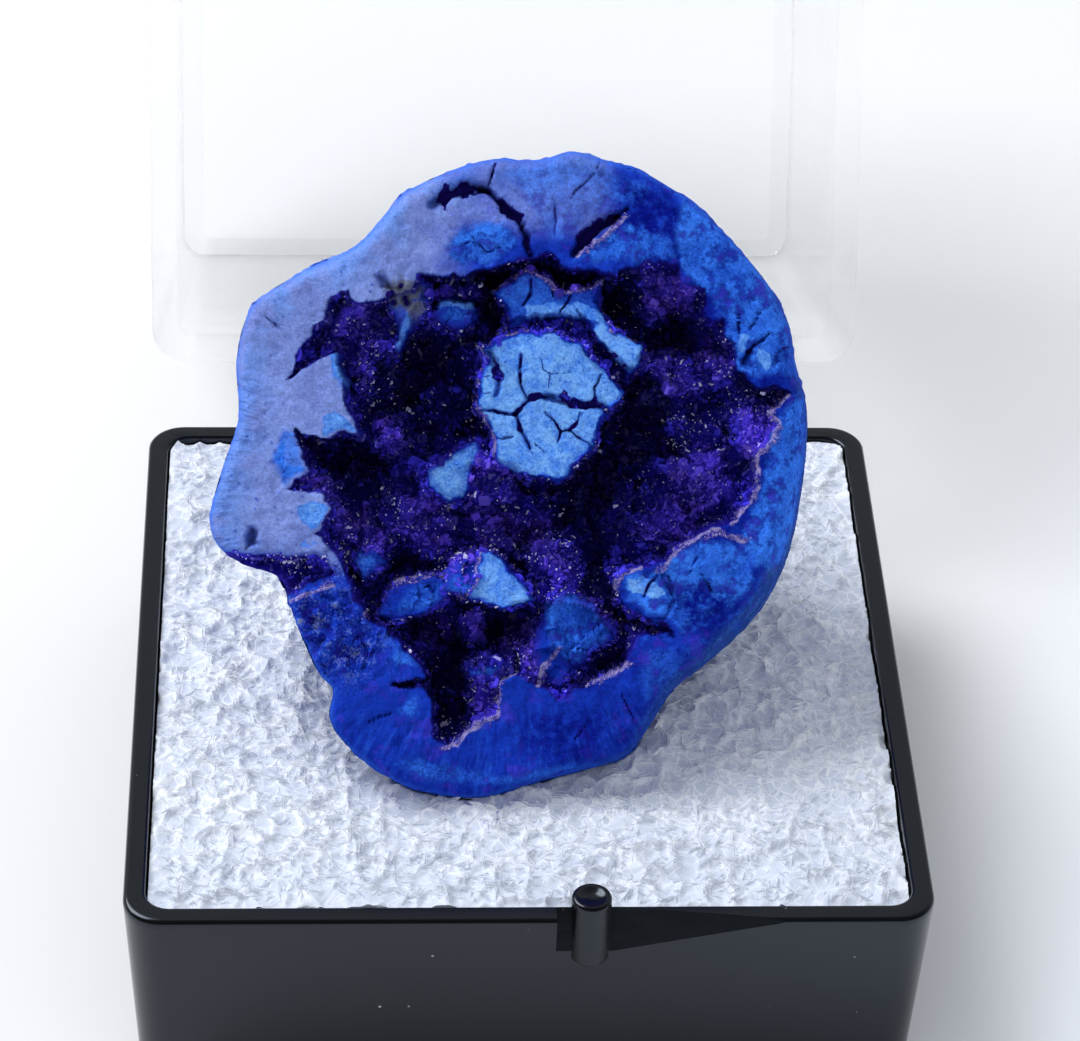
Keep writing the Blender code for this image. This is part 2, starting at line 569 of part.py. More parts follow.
def place_on_face(thing):
    """Give an object the place and turn of the stone's face."""
    thing.location = Vector(FACE_CENTRE) * MM
    thing.rotation_euler = [math.radians(angle) for angle in FACE_TURN_DEG]


# ---------------------------------------------------------------- box

def square_cup(mesh, half_low, half_high, low, high, radius):
    """A four-sided block with leaning walls and rounded upright edges."""
    made = bmesh.ops.create_cube(mesh, size=2.0)
    for vert in made["verts"]:
        half = half_high if vert.co.z > 0 else half_low
        level = high if vert.co.z > 0 else low
        vert.co = Vector((vert.co.x * half, vert.co.y * half, level)) * MM
    upright = [edge for edge in mesh.edges if abs(edge.verts[0].co.z - edge.verts[1].co.z) > MM]
    bmesh.ops.bevel(mesh, geom=upright, offset=radius * MM, segments=CORNER_SEGMENTS,
                     affect="EDGES", profile=0.5)


def make_block(name, half_low, half_high, low, high, radius, material=None):
    """Leaning-walled block as an object: a part if it has a material, else a cutter."""
    mesh = bmesh.new()
    square_cup(mesh, half_low, half_high, low, high, radius)
    if material:
        return finish_mesh(name, mesh, material)
    return finish_cutter(name, mesh)


def finish_cutter(name, mesh):
    """Turn a bmesh into a hidden cutting or joining guide."""
    bmesh.ops.recalc_face_normals(mesh, faces=mesh.faces)
    data = bpy.data.meshes.new(name)
    mesh.to_mesh(data)
    mesh.free()
    thing = bpy.data.objects.new(name, data)
    thing.hide_render = True
    thing.display_type = "WIRE"
    cutters.objects.link(thing)
    return thing


def make_rod(name, radius, low, high, centre, along="Z", sides=24):
    """Guide cylinder along Z or X, between two levels on that axis."""
    mesh = bmesh.new()
    bmesh.ops.create_cone(mesh, cap_ends=True, segments=sides, radius1=radius * MM, radius2=radius * MM,
                          depth=(high - low) * MM)
    rod = finish_cutter(name, mesh)
    middle = (low + high) / 2
    if along == "Z":
        rod.location = Vector((centre[0], centre[1], middle)) * MM
    else:
        rod.location = Vector((middle, centre[0], centre[1])) * MM
        rod.rotation_euler = (0.0, math.pi / 2, 0.0)
    return rod


def make_prism(name, outline, low, high, along="X"):
    """Guide prism: an outline in YZ run along X, or in XZ run along Y."""
    mesh = bmesh.new()
    rows = []
    for level in (low, high):
        if along == "X":
            rows.append([mesh.verts.new(Vector((level, a, b)) * MM) for a, b in outline])
        else:
            rows.append([mesh.verts.new(Vector((a, level, b)) * MM) for a, b in outline])
    mesh.faces.new(rows[0])
    mesh.faces.new(rows[1])
    bridge(mesh, rows[0], rows[1])
    return finish_cutter(name, mesh)


def combine(thing, other, operation):
    """Boolean of a part with a guide."""
    modifier = thing.modifiers.new(other.name, "BOOLEAN")
    modifier.operation = operation
    modifier.solver = "EXACT"
    modifier.object = other


def hinge_arc(start_deg, end_deg, steps):
    """Points on the hinge disc's rim in YZ, from one angle to another."""
    angles = np.radians(np.linspace(start_deg, end_deg, steps))
    return [(HINGE_Y + HINGE_DISC_R * math.cos(a), HINGE_Z + HINGE_DISC_R * math.sin(a)) for a in angles]


def build_base():
    """Black cup with hinge lugs at the back, a thumb notch and a latch pin in front."""
    base = make_block("box_base", HALF - DRAFT, HALF, 0.0, BASE_HEIGHT, CORNER_RADIUS, BLACK_PLASTIC)
    inner = HALF - BASE_WALL
    cavity = make_block("base_cavity", inner - DRAFT, inner, BASE_FLOOR, BASE_HEIGHT + CUT_PAST,
                        INNER_CORNER_RADIUS)
    combine(base, cavity, "DIFFERENCE")
    notch = make_prism("thumb_notch", [(x, BASE_HEIGHT + z) for x, z in NOTCH_OUTLINE],
                       -HALF - CUT_PAST, -HALF + NOTCH_DEPTH, along="Y")
    combine(base, notch, "DIFFERENCE")
    pin = make_rod("latch_pin", LATCH_R, BASE_HEIGHT - LATCH_FOOT, BASE_HEIGHT + LATCH_RISE,
                   (LATCH_X, LATCH_Y), sides=20)
    combine(base, pin, "UNION")
    for side in (-1, 1):
        low, high = sorted((side * LUG_X[0], side * LUG_X[1]))
        root = HALF - LUG_ROOT
        outline = [(root, LUG_FOOT_Z)] + hinge_arc(-70.0, 90.0, 9) + [(root, LUG_TOP_Z)]
        lug = make_prism(f"lug_{high:.0f}", outline, low, high)
        combine(base, lug, "UNION")
        bore = make_rod(f"lug_bore_{high:.0f}", HINGE_HOLE_R, low - CUT_PAST, high + CUT_PAST,
                        (HINGE_Y, HINGE_Z), "X")
        combine(base, bore, "DIFFERENCE")
    return base


def build_lid():
    """Clear cup with ears and pins on the hinge, modelled shut about the hinge and then swung open."""
    low = BASE_HEIGHT + GAP
    high = low + LID_HEIGHT
    lid = make_block("box_lid", HALF, HALF - DRAFT, low, high, CORNER_RADIUS, CLEAR_PLASTIC)
    inner = HALF - LID_WALL
    boss = make_rod("latch_boss", BOSS_R, low, low + BOSS_HEIGHT, (LATCH_X, LATCH_Y))
    guides = [(boss, "UNION")]
    for side in (-1, 1):
        near, far = sorted((side * EAR_X[0], side * EAR_X[1]))
        root = HALF - EAR_ROOT
        outline = [(root, low + EAR_HEIGHT), (root, low), (HINGE_Y - HINGE_DISC_R, low)]
        outline += hinge_arc(180.0, 380.0, 11)
        guides.append((make_prism(f"ear_{far:.0f}", outline, near, far), "UNION"))
        reach = sorted((side * (EAR_X[1] - PIN_ROOT), side * (LUG_X[1] - PIN_SHORT)))
        pin = make_rod(f"hinge_pin_{far:.0f}", HINGE_PIN_R, reach[0], reach[1], (HINGE_Y, HINGE_Z), "X")
        guides.append((pin, "UNION"))
    cavity = make_block("lid_cavity", inner, inner - DRAFT, low - CUT_PAST, high - LID_WALL,
                        INNER_CORNER_RADIUS)
    socket = make_rod("latch_socket", SOCKET_R, low - CUT_PAST, low + LATCH_RISE + GAP, (LATCH_X, LATCH_Y))
    guides += [(cavity, "DIFFERENCE"), (socket, "DIFFERENCE")]
    hinge = bpy.data.objects.new("lid_hinge_axis", None)
    parts.objects.link(hinge)
    hinge.location = Vector((0.0, HINGE_Y, HINGE_Z)) * MM
    shift = -hinge.location
    for thing in [lid] + [guide for guide, _ in guides]:
        thing.location = thing.location + shift
        thing.parent = hinge
    for guide, operation in guides:
        combine(lid, guide, operation)
    hinge.rotation_euler = (-math.radians(LID_OPEN_DEG), 0.0, 0.0)
    return lid


def build_foam():
    """Foam block that fills the base, with a bed pressed in it for the stone's back."""
    foam = make_block("foam_insert", FOAM_HALF - DRAFT, FOAM_HALF, BASE_FLOOR + GAP, FOAM_TOP,
                      FOAM_CORNER_RADIUS, FOAM)
    mesh = bmesh.new()
    rim = outset(smooth_outline(FOAM_BED_STEP), FOAM_BED_CLEARANCE)
    grow = (DOME_DEPTH + FOAM_BED_CLEARANCE) / DOME_DEPTH
    fall = face_swell(rim) - EDGE_DROP - SKIN_DROP * skin_share(rim) - FOAM_BED_CLEARANCE
    rows = [[mesh.verts.new(Vector((u, v, FOAM_BED_TOP)) * MM) for u, v in rim]]
    for ring in range(FOAM_BED_RINGS):
        share = math.cos(0.5 * math.pi * ring / FOAM_BED_RINGS)
        place, sunk = dome_point(share, rim, fall)
        rows.append([mesh.verts.new(Vector((u, v, w * grow)) * MM) for (u, v), w in zip(place, sunk)])
    for outer, inner in zip(rows, rows[1:]):
        bridge(mesh, outer, inner)
    close_tip(mesh, rows[-1], -DOME_DEPTH * DOME_TIP * grow)
    mesh.faces.new(rows[0])
    bed = finish_cutter("stone_bed", mesh)
    place_on_face(bed)
    combine(foam, bed, "DIFFERENCE")
    return foam


# ---------------------------------------------------------------- materials

def make_material(name, look):
    """Principled material with a colour, roughness, metallic value and alpha."""
    colour, roughness, metallic, alpha = look
    material = bpy.data.materials.new(name)
    material.use_nodes = True
    shader = material.node_tree.nodes["Principled BSDF"]
    shader.inputs["Base Color"].default_value = (*colour, 1.0)
    shader.inputs["Roughness"].default_value = roughness
    shader.inputs["Metallic"].default_value = metallic
    shader.inputs["Alpha"].default_value = alpha
    material.diffuse_color = (*colour, alpha)
    return material


# ---------------------------------------------------------------- the whole specimen

for old in list(bpy.data.objects):
    bpy.data.objects.remove(old, do_unlink=True)
parts = bpy.data.collections.new("azurite_specimen")
cutters = bpy.data.collections.new("guides")
bpy.context.scene.collection.children.link(parts)
bpy.context.scene.collection.children.link(cutters)

build_base()
build_lid()
build_foam()
build_crust(*build_stone())
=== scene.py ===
"""Looks for half an azurite nodule in a hinged thumbnail specimen box.

The world frame is in metres with +Z up. The stone's face has a frame of its own in millimetres:
u across the face, v up it and w out of it. New pieces are surfaces worked out as numpy arrays,
in millimetres, and are turned into metres when they are put into a mesh.
"""
from __future__ import annotations

import logging
import math
from dataclasses import dataclass, field
from enum import Enum
from typing import Any, Iterable, Sequence

import bpy
import numpy as np
from mathutils import Euler, Matrix, Vector

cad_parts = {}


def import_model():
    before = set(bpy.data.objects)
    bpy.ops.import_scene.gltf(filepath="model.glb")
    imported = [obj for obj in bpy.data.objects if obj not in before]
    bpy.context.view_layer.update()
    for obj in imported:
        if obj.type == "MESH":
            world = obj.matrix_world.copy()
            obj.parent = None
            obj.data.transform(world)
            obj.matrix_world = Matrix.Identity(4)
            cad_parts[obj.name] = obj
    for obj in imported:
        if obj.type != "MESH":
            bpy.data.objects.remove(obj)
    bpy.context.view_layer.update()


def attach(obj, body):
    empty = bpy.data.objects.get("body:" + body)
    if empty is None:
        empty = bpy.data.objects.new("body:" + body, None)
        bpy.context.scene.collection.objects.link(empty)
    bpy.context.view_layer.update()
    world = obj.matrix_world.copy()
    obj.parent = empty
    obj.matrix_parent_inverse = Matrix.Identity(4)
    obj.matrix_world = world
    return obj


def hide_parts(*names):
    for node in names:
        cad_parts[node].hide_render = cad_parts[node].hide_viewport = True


LOG = logging.getLogger("azurite_box")
MM = 0.001
CHUNK = 4000    # points worked on at once
FAR = 2.0       # distances are told apart up to so many millimetres
Array = np.ndarray
Colour = tuple[float, float, float]
Thing = bpy.types.Object
Material = bpy.types.Material
Mesh = tuple[Array, list[Array]]
Areas = list[tuple[tuple[float, ...], Array]]


def tenths(text: str) -> Array:
    """Points in millimetres, from points written as "u,v u,v" in tenths of a millimetre."""
    return np.array([[float(number) for number in word.split(",")] for word in text.split()]) / 10.0


def areas(text: str) -> Areas:
    """Routes with their numbers, from lines of "numbers: points". A line without a colon goes on
    with the route before it.

    Args:
        text: The lines, with the points in tenths of a millimetre.

    Returns:
        Numbers and points, in millimetres, of each route.
    """
    found: list[tuple[str, str]] = []
    for line in text.strip().splitlines():
        head, colon, points = line.rpartition(":")
        if not colon:
            head, before = found.pop()
            points = before + points
        found.append((head, points))
    return [(tuple(float(number) for number in head.split()), tenths(points)) for head, points in found]


# Box sizes, in millimetres.
HALF = 15.875
BASE_HEIGHT = 9.5
LID_HEIGHT = 25.1
DRAFT = 0.45
GAP = 0.3
HINGE_Y = HALF + 1.95
HINGE_Z = 9.0
HINGE_DISC = 1.5
LID_OPEN_DEG = 115.0
LATCH_X = 2.33
LATCH_Y = -HALF + 0.45

# Place of the stone's face in the world.
FACE_CENTRE = (-0.453, -1.306, 20.073)
FACE_TURN_DEG = (52.123, -1.487, -1.862)
DOME_DEPTH = 11.2

# Edge of the face, clockwise from the crown: u,v in tenths of a millimetre, as in all the routes.
OUTLINE = tenths("""
22,130 34,127 50,122 61,116 74,107 90,91 104,74 111,60 113.5,46 118,30 119,16 117.5,-6 112.5,-31 101,-55
81,-75 65,-87 56,-100 45,-114 26,-120 6,-124.5 -14,-130 -34,-128 -50,-122 -68,-108 -74.5,-97 -73,-86 -79,-79
-86,-64 -91,-50 -96,-41 -110,-36 -119,-29 -122.5,-17 -117,4 -111,22 -112,44 -109,60 -102,71 -84,82 -65,91
-54,102 -44,113 -26,122 -8,127 9,126""")

# Lip of the hollow, clockwise from the left tip of its upper pocket.
HOLLOW = tenths("""
-92,39 -87,49 -80,59 -75,69 -69,73.5 -61,70 -53,69 -45,74 -39,80 -25,80.5 -9,82 3,86.5 14,88.5 26,82.5 41,80
50,86 65,85.5 67,77 76,74 76,64 82,61 88,52 89.5,42 96,36 107,36.5 110.5,32.5 103,25 105.5,17 97.5,9 96.5,0
93.5,-11 86,-20 80,-23 70,-26.5 61,-34 50,-36 41,-41 42,-51 54,-58 64,-64 50,-64.5 46,-75 34,-82 17,-91.5
8,-82 -4,-79 -6.5,-96 -18,-100 -27,-108.5 -33,-104 -35.5,-84.5 -50,-83.5 -49.5,-81.5 -35,-80 -45,-69 -51,-60
-60,-59 -65,-46 -70,-35 -80,-24 -74,-14 -80,-7 -92,-5 -82,1 -86,12 -89.5,18 -76,15.5 -63,16.5 -67.5,29
-69,37 -72,48 -83,41.5""")

# Depth of the hollow's floor: u,v,w.
FLOOR_DEPTHS = tenths("""
-88,43,-15 -76,55,-26 -70,67,-22 -57,61,-24 -53,54,-28 -56,44,-52 -65,42,-28 -64,32,-42 -42,48,-68
-45,32,-65 -58,26,-58 -49,15,-48 -30,34,-52 -32,19,-56 -22,48,-58 -76,8,-60 -62,6,-66 -86,-5,-15 -65,-12,-46
-48,-18,-38 -33,-20,-45 -70,-22,-28 -55,-26,-36 -32,-3,-46 0,-20,-55 18,-16,-58 32,-6,-68 42,10,-70
48,25,-68 -15,-20,-50 42,72,-60 53,79,-36 56,69,-42 69,70,-36 65,58,-68 77,56,-52 82,46,-28 70,46,-40
56,40,-46 58,24,-64 68,24,-44 78,33,-50 80,18,-36 95,22,-15 104,34,-26 64,8,-54 83,2,-30 62,-14,-42
73,-19,-48 82,-12,-34 54,-24,-36 42,-16,-56 32,-36,-52 56,-61,-16 39,-60,-34 38,-74,-34 23,-83,-22 4,-75,-16
-6,-62,-50 -29,-80,-52 -26,-96,-45 -12,-90,-22 -38,-66,-48 -46,-82,-16 -25,-56,-44 -50,-39,-56 -61,-46,-44
-24,-48,-36""")


# ---------------------------------------------------------------- arithmetic on arrays

def smooth_step(low: float, high: float, value: Array) -> Array:
    """Rise from 0 at low to 1 at high, or fall when low is above high, by t * t * (3 - 2 t)."""
    share = np.clip((value - low) / (high - low), 0.0, 1.0)
    return share * share * (3.0 - 2.0 * share)


def unit(vectors: Array) -> Array:
    """Vectors as (n, k), each brought to length 1."""
    return vectors / np.linalg.norm(vectors, axis=1)[:, None]


def angle_of(points: Array) -> Array:
    """Angle of each point of (n, 2) about the origin, in radians."""
    return np.arctan2(points[:, 1], points[:, 0])


def heading(angle: Array) -> Array:
    """Unit vector of each angle, as (n, 2)."""
    return np.stack([np.cos(angle), np.sin(angle)], 1)


def bell(points: Array, spot: Sequence[float]) -> Array:
    """Bell curve over (n, 2) points: 1 at the spot's (u, v), and 1 / e at its two half widths."""
    return np.exp(-((points[:, 0] - spot[0]) / spot[2]) ** 2 - ((points[:, 1] - spot[1]) / spot[-1]) ** 2)


def facets(facts: Array) -> Array:
    """Tilted flats: the offset from a cell's seed along a direction of the cell's own."""
    return facts[:, 0] * np.sin(9.0 * facts[:, 2]) + facts[:, 1] * np.cos(9.0 * facts[:, 2])


def read_grid(values: Array, place: Array) -> Array:
    """Values of a grid at fractional (row, column) places, blended from the four round each.

    Args:
        values: Grid as (rows, columns).
        place: Places as (n, 2), short of the last row and column.

    Returns:
        Values as (n,).
    """
    row, column = place.astype(int).T
    down, along = (place - place.astype(int)).T
    low = values[row, column] * (1 - along) + values[row, column + 1] * along
    high = values[row + 1, column] * (1 - along) + values[row + 1, column + 1] * along
    return low * (1 - down) + high * down


def route_distance(points: Array, route: Array, closed: bool) -> Array:
    """Distance from each point to a route, or FAR: the least over its stretches of the length of
    the offset left after the point is dropped square onto the stretch.

    Args:
        points: Points as (n, 2).
        route: Corners of the route as (m, 2).
        closed: Whether the last corner joins the first.

    Returns:
        Distances as (n,).
    """
    starts = route if closed else route[:-1]
    span = (np.roll(route, -1, axis=0) if closed else route[1:]) - starts
    size = np.maximum((span * span).sum(1), 1e-12)
    near = np.flatnonzero(((points > route.min(0) - FAR) & (points < route.max(0) + FAR)).all(1))
    out = np.full(len(points), FAR)
    for low in range(0, len(near), CHUNK):
        part = near[low:low + CHUNK]
        across, up = points[part, :1] - starts[:, 0], points[part, 1:] - starts[:, 1]
        share = np.clip((across * span[:, 0] + up * span[:, 1]) / size, 0.0, 1.0)
        gap = (across - share * span[:, 0]) ** 2 + (up - share * span[:, 1]) ** 2
        out[part] = np.minimum(np.sqrt(gap.min(1)), FAR)
    return out


def depth_inside(points: Array, outline: Array) -> Array:
    """Distance from a closed outline, positive inside it and negative outside. A point is inside
    when a line from it to the right crosses the outline an odd number of times.

    Args:
        points: Points as (n, 2).
        outline: Corners as (m, 2).

    Returns:
        Signed distances as (n,).
    """
    x0, y0 = outline[:, 0], outline[:, 1]
    x1, y1 = np.roll(x0, -1), np.roll(y0, -1)
    rise = np.where(y1 == y0, 1e-9, y1 - y0)
    near = np.flatnonzero(((points > outline.min(0)) & (points < outline.max(0))).all(1))
    sign = np.full(len(points), -1.0)
    for low in range(0, len(near), CHUNK):
        part = near[low:low + CHUNK]
        x, y = points[part, :1], points[part, 1:]
        crossings = ((y0 > y) != (y1 > y)) & (x < (x1 - x0) * (y - y0) / rise + x0)
        sign[part] = np.where(crossings.sum(1) % 2 == 1, 1.0, -1.0)
    return sign * route_distance(points, outline, True)


def smooth_loop(marks: Array, steps: int) -> Array:
    """Closed Catmull-Rom curve through the marks.

    Args:
        marks: Corners as (m, 2).
        steps: Points on each stretch between two marks.

    Returns:
        Points as (m * steps, 2).
    """
    before, after, beyond = np.roll(marks, 1, 0), np.roll(marks, -1, 0), np.roll(marks, -2, 0)
    share = np.linspace(0.0, 1.0, steps, endpoint=False)[:, None, None]
    curve = 0.5 * (2 * marks + share * (after - before)
                   + share ** 2 * (2 * before - 5 * marks + 4 * after - beyond)
                   + share ** 3 * (3 * marks - before - 3 * after + beyond))
    return curve.transpose(1, 0, 2).reshape(-1, 2)


def even_points(route: Array, count: int) -> Array:
    """Points along an open route at equal distances, both ends included.

    Args:
        route: Corners as (m, k).
        count: Number of points.

    Returns:
        Points as (count, k).
    """
    lengths = np.concatenate([[0.0], np.cumsum(np.linalg.norm(np.diff(route, axis=0), axis=1))])
    stations = np.linspace(0.0, lengths[-1], count)
    return np.stack([np.interp(stations, lengths, route[:, axis]) for axis in range(route.shape[1])], 1)


class LatticeNoise:
    """Repeatable noise: a table of seeded random values read by a hash of whole coordinates."""

    SIZE = 1 << 16
    PRIMES = (73856093, 19349663, 83492791)

    def __init__(self, seed: int) -> None:
        """Fill the table from a seed."""
        self.table = np.random.default_rng(seed).uniform(-1.0, 1.0, self.SIZE)

    def lattice(self, cells: Array, salt: int = 0) -> Array:
        """Value from -1 to 1 of each whole cell, given as (..., k). Salt gives another set."""
        index = sum(cells[..., axis] * self.PRIMES[axis] for axis in range(cells.shape[-1]))
        return self.table[(index + salt * 7919) % self.SIZE]

    def smooth(self, points: Array, scale: float, salt: int = 0) -> Array:
        """Value noise: the corner values of the cell round a point, blended by a quintic.

        Args:
            points: Points as (n, k).
            scale: Size of a cell.
            salt: Picks the pattern.

        Returns:
            Values from -1 to 1, as (n,).
        """
        place = points / scale
        cell = np.floor(place).astype(np.int64)
        part = place - cell
        part = part ** 3 * (part * (part * 6.0 - 15.0) + 10.0)
        size = points.shape[1]
        total = np.zeros(len(points))
        for corner in range(1 << size):
            shift = np.array([(corner >> axis) & 1 for axis in range(size)])
            weight = np.prod(np.where(shift, part, 1.0 - part), axis=1)
            total += weight * self.lattice(cell + shift, salt)
        return total

    def layered(self, points: Array, scale: float, layers: int, salt: int = 0) -> Array:
        """Sum of noises, each half the size and 0.55 of the strength of the last.

        Args:
            points: Points as (n, k).
            scale: Size of the first layer's cells.
            layers: Number of layers.
            salt: Picks the pattern.

        Returns:
            Values of about -1 to 1, as (n,).
        """
        total, strength = np.zeros(len(points)), 1.0
        for layer in range(layers):
            total += strength * self.smooth(points, scale * 0.5 ** layer, salt + layer)
            strength *= 0.55
        return total / 1.6

    def shift(self, points: Array, scale: float, layers: int, salt: int, step: int = 1) -> Array:
        """Two layered noises side by side, to move (n, 2) points by."""
        return np.stack([self.layered(points, scale, layers, one) for one in (salt, salt + step)], 1)

    def cells(self, points: Array, scale: float, salt: int = 0) -> tuple[Array, Array, Array]:
        """Cells round scattered seeds: distance to the nearest seed and to the next, in cell sizes.

        Args:
            points: Points as (n, k).
            scale: Mean distance between seeds.
            salt: Picks the pattern.

        Returns:
            Nearest distance, next distance, and the offset from the nearest seed with the cell's
            own value as its last column.
        """
        place = points / scale
        cell = np.floor(place).astype(np.int64)
        size = points.shape[1]
        near, following = np.full(len(points), 9.0), np.full(len(points), 9.0)
        facts = np.zeros((len(points), size + 1))
        for step in np.ndindex(*([3] * size)):
            other = cell + (np.array(step) - 1)
            jitter = np.stack([self.lattice(other, salt + 11 * axis + 1) for axis in range(size)], 1)
            offset = place - (other + 0.5 + 0.45 * jitter)
            distance = np.linalg.norm(offset, axis=1)
            closer = distance < near
            following = np.where(closer, near, np.minimum(following, distance))
            near = np.where(closer, distance, near)
            facts[closer, :size] = offset[closer]
            facts[closer, size] = self.lattice(other, salt + 53)[closer]
        return near, following, facts


NOISE = LatticeNoise(17)


# ---------------------------------------------------------------- meshes

class Body(Enum):
    """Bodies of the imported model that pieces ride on."""

    BASE = "base"
    LID = "lid"


class Slot(Enum):
    """Material slots of the record."""

    AZURITE = "azurite"
    DRUSE = "druse"
    BLACK_PLASTIC = "black_plastic"
    CLEAR_PLASTIC = "clear_plastic"
    FOAM = "foam"


def grid_faces(rows: int, columns: int, around: bool = False, start: int = 0) -> Array:
    """Quads of a grid whose points run row by row.

    Args:
        rows: Rows of points.
        columns: Points in a row.
        around: Whether the last column joins the first.
        start: Number of the first point.

    Returns:
        Quads as (n, 4), anticlockwise when rows run up and columns run right.
    """
    last = columns if around else columns - 1
    row, column = np.meshgrid(np.arange(rows - 1), np.arange(last), indexing="ij")
    after = (column + 1) % columns
    quads = np.stack([row * columns + column, row * columns + after,
                      (row + 1) * columns + after, (row + 1) * columns + column], -1)
    return quads.reshape(-1, 4) + start


def grid_border(rows: int, columns: int) -> Array:
    """Numbers of a grid's outer points, anticlockwise from its first."""
    number = np.arange(rows * columns).reshape(rows, columns)
    return np.concatenate([number[0, :-1], number[:-1, -1], number[-1, :0:-1], number[:0:-1, 0]])


def tube_faces(rings: int, count: int) -> list[Array]:
    """Faces of a closed tube: rings of so many points, and one more point for each end."""
    first, total = np.arange(count), rings * count
    return [grid_faces(rings, count, around=True), fan_faces(first, total, flip=True),
            fan_faces(first + total - count, total + 1)]


def closing_faces(border: Array, start: int, rows: int, flip: bool = False) -> list[Array]:
    """Faces from a border through rows of as many points to one last point.

    Args:
        border: Numbers of the border's points in order.
        start: Number of the first row's first point.
        rows: Number of rows.
        flip: Whether to turn the faces over.

    Returns:
        Quads of each row, and the last triangles.
    """
    faces, order = [], [0, 3, 2, 1] if flip else [0, 1, 2, 3]
    for row in range(rows):
        current = np.arange(len(border)) + start + row * len(border)
        faces.append(np.stack([border, current, np.roll(current, -1), np.roll(border, -1)], 1)[:, order])
        border = current
    return [*faces, fan_faces(border, start + rows * len(border), flip=not flip)]


def copied_faces(faces: Array, copies: int, points: int, start: int = 0) -> Array:
    """Triangles of a small shape of so many points, once for each of its copies."""
    return (faces[None] + (np.arange(copies) * points)[:, None, None]).reshape(-1, 3) + start


def fan_faces(ring: Array, centre: int, flip: bool = False) -> Array:
    """Triangles from a closed ring of points to one point.

    Args:
        ring: Numbers of the ring's points in order.
        centre: Number of the middle point.
        flip: Whether to turn the triangles over.

    Returns:
        Triangles as (n, 3).
    """
    after = np.roll(ring, -1)
    middle = np.full_like(ring, centre)
    return np.stack([after, ring, middle] if flip else [ring, after, middle], 1)


def new_object(name: str, points: Array, faces: Iterable[Array], smooth_deg: float | None = 40.0) -> Thing:
    """Mesh object from points in millimetres.

    Args:
        name: Name of the object and its mesh.
        points: Points as (n, 3), in millimetres.
        faces: Arrays of faces, each as (m, corners).
        smooth_deg: Angle above which an edge stays sharp, or None for flat faces.

    Returns:
        The object, linked to the scene.
    """
    data = bpy.data.meshes.new(name)
    listed = [face for block in faces for face in block.tolist()]
    data.from_pydata((points * MM).tolist(), [], listed)
    if smooth_deg is None:
        data.shade_flat()
    else:
        data.shade_smooth()
        data.set_sharp_from_angle(angle=math.radians(smooth_deg))
    data.update()
    thing = bpy.data.objects.new(name, data)
    bpy.context.scene.collection.objects.link(thing)
    return thing


def give_attributes(thing: Thing, values: dict[str, Array]) -> None:
    """Store numbers on the points of a mesh for its material to read.

    Args:
        thing: The mesh object.
        values: One value a point for each name.
    """
    for name, value in values.items():
        attribute = thing.data.attributes.new(name, "FLOAT", "POINT")
        attribute.data.foreach_set("value", np.ascontiguousarray(value, dtype=np.float32))


def register(thing: Thing, body: Body, material: Material,
             stands_for: Sequence[str] = ()) -> Thing:
    """Give a finished piece its material, its body and the nodes it stands for.

    Args:
        thing: The piece.
        body: Body it rides on.
        material: Its finish.
        stands_for: CAD nodes that it replaces.

    Returns:
        The piece.
    """
    thing.data.materials.clear()
    thing.data.materials.append(material)
    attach(thing, body.value)
    if stands_for:
        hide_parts(*stands_for)
    thing.data.calc_loop_triangles()
    LOG.info("%s: %d triangles on %s", thing.name, len(thing.data.loop_triangles), body.value)
    return thing


def apply_modifiers(thing: Thing) -> None:
    """Swap an object's mesh for the one that its modifiers give, and drop the modifiers.

    Args:
        thing: The object.
    """
    bpy.context.view_layer.update()
    evaluated = thing.evaluated_get(bpy.context.evaluated_depsgraph_get())
    data = bpy.data.meshes.new_from_object(evaluated)
    thing.modifiers.clear()
    thing.data = data


# ---------------------------------------------------------------- shader arithmetic

class Value:
    """A number or vector that varies over a surface: a socket that takes part in arithmetic."""

    def __init__(self, sheet: NodeSheet, socket: bpy.types.NodeSocket) -> None:
        """Wrap an output socket. New nodes go on the sheet."""
        self.sheet = sheet
        self.socket = socket

    def _with(self, operation: str, first: Any, second: Any) -> Value:
        """One Math node on two operands."""
        return self.sheet.node("ShaderNodeMath", {"operation": operation}, {0: first, 1: second}).out(0)

    def __add__(self, other: Value | float) -> Value:
        """Sum."""
        return self._with("ADD", self, other)

    __radd__ = __add__

    def __mul__(self, other: Value | float) -> Value:
        """Product."""
        return self._with("MULTIPLY", self, other)

    __rmul__ = __mul__

    def __sub__(self, other: Value | float) -> Value:
        """Difference."""
        return self._with("SUBTRACT", self, other)

    def __rsub__(self, other: float) -> Value:
        """Difference from a number on the left."""
        return self._with("SUBTRACT", other, self)

    def step(self, low: float, high: float) -> Value:
        """Smooth rise from 0 at low to 1 at high."""
        if low > high:
            return 1.0 - self.step(high, low)
        return self.sheet.spread(self, low, high, 0.0, 1.0, "SMOOTHSTEP")

    def most(self, other: Value | float) -> Value:
        """The larger of two."""
        return self._with("MAXIMUM", self, other)

    def least(self, other: Value | float) -> Value:
        """The smaller of two."""
        return self._with("MINIMUM", self, other)


class PlacedNode:
    """A node that has been put on a sheet."""

    def __init__(self, sheet: NodeSheet, node: bpy.types.Node) -> None:
        """Keep the node and its sheet."""
        self.sheet = sheet
        self.node = node

    def out(self, key: int | str) -> Value:
        """One of the node's outputs."""
        return Value(self.sheet, self.node.outputs[key])


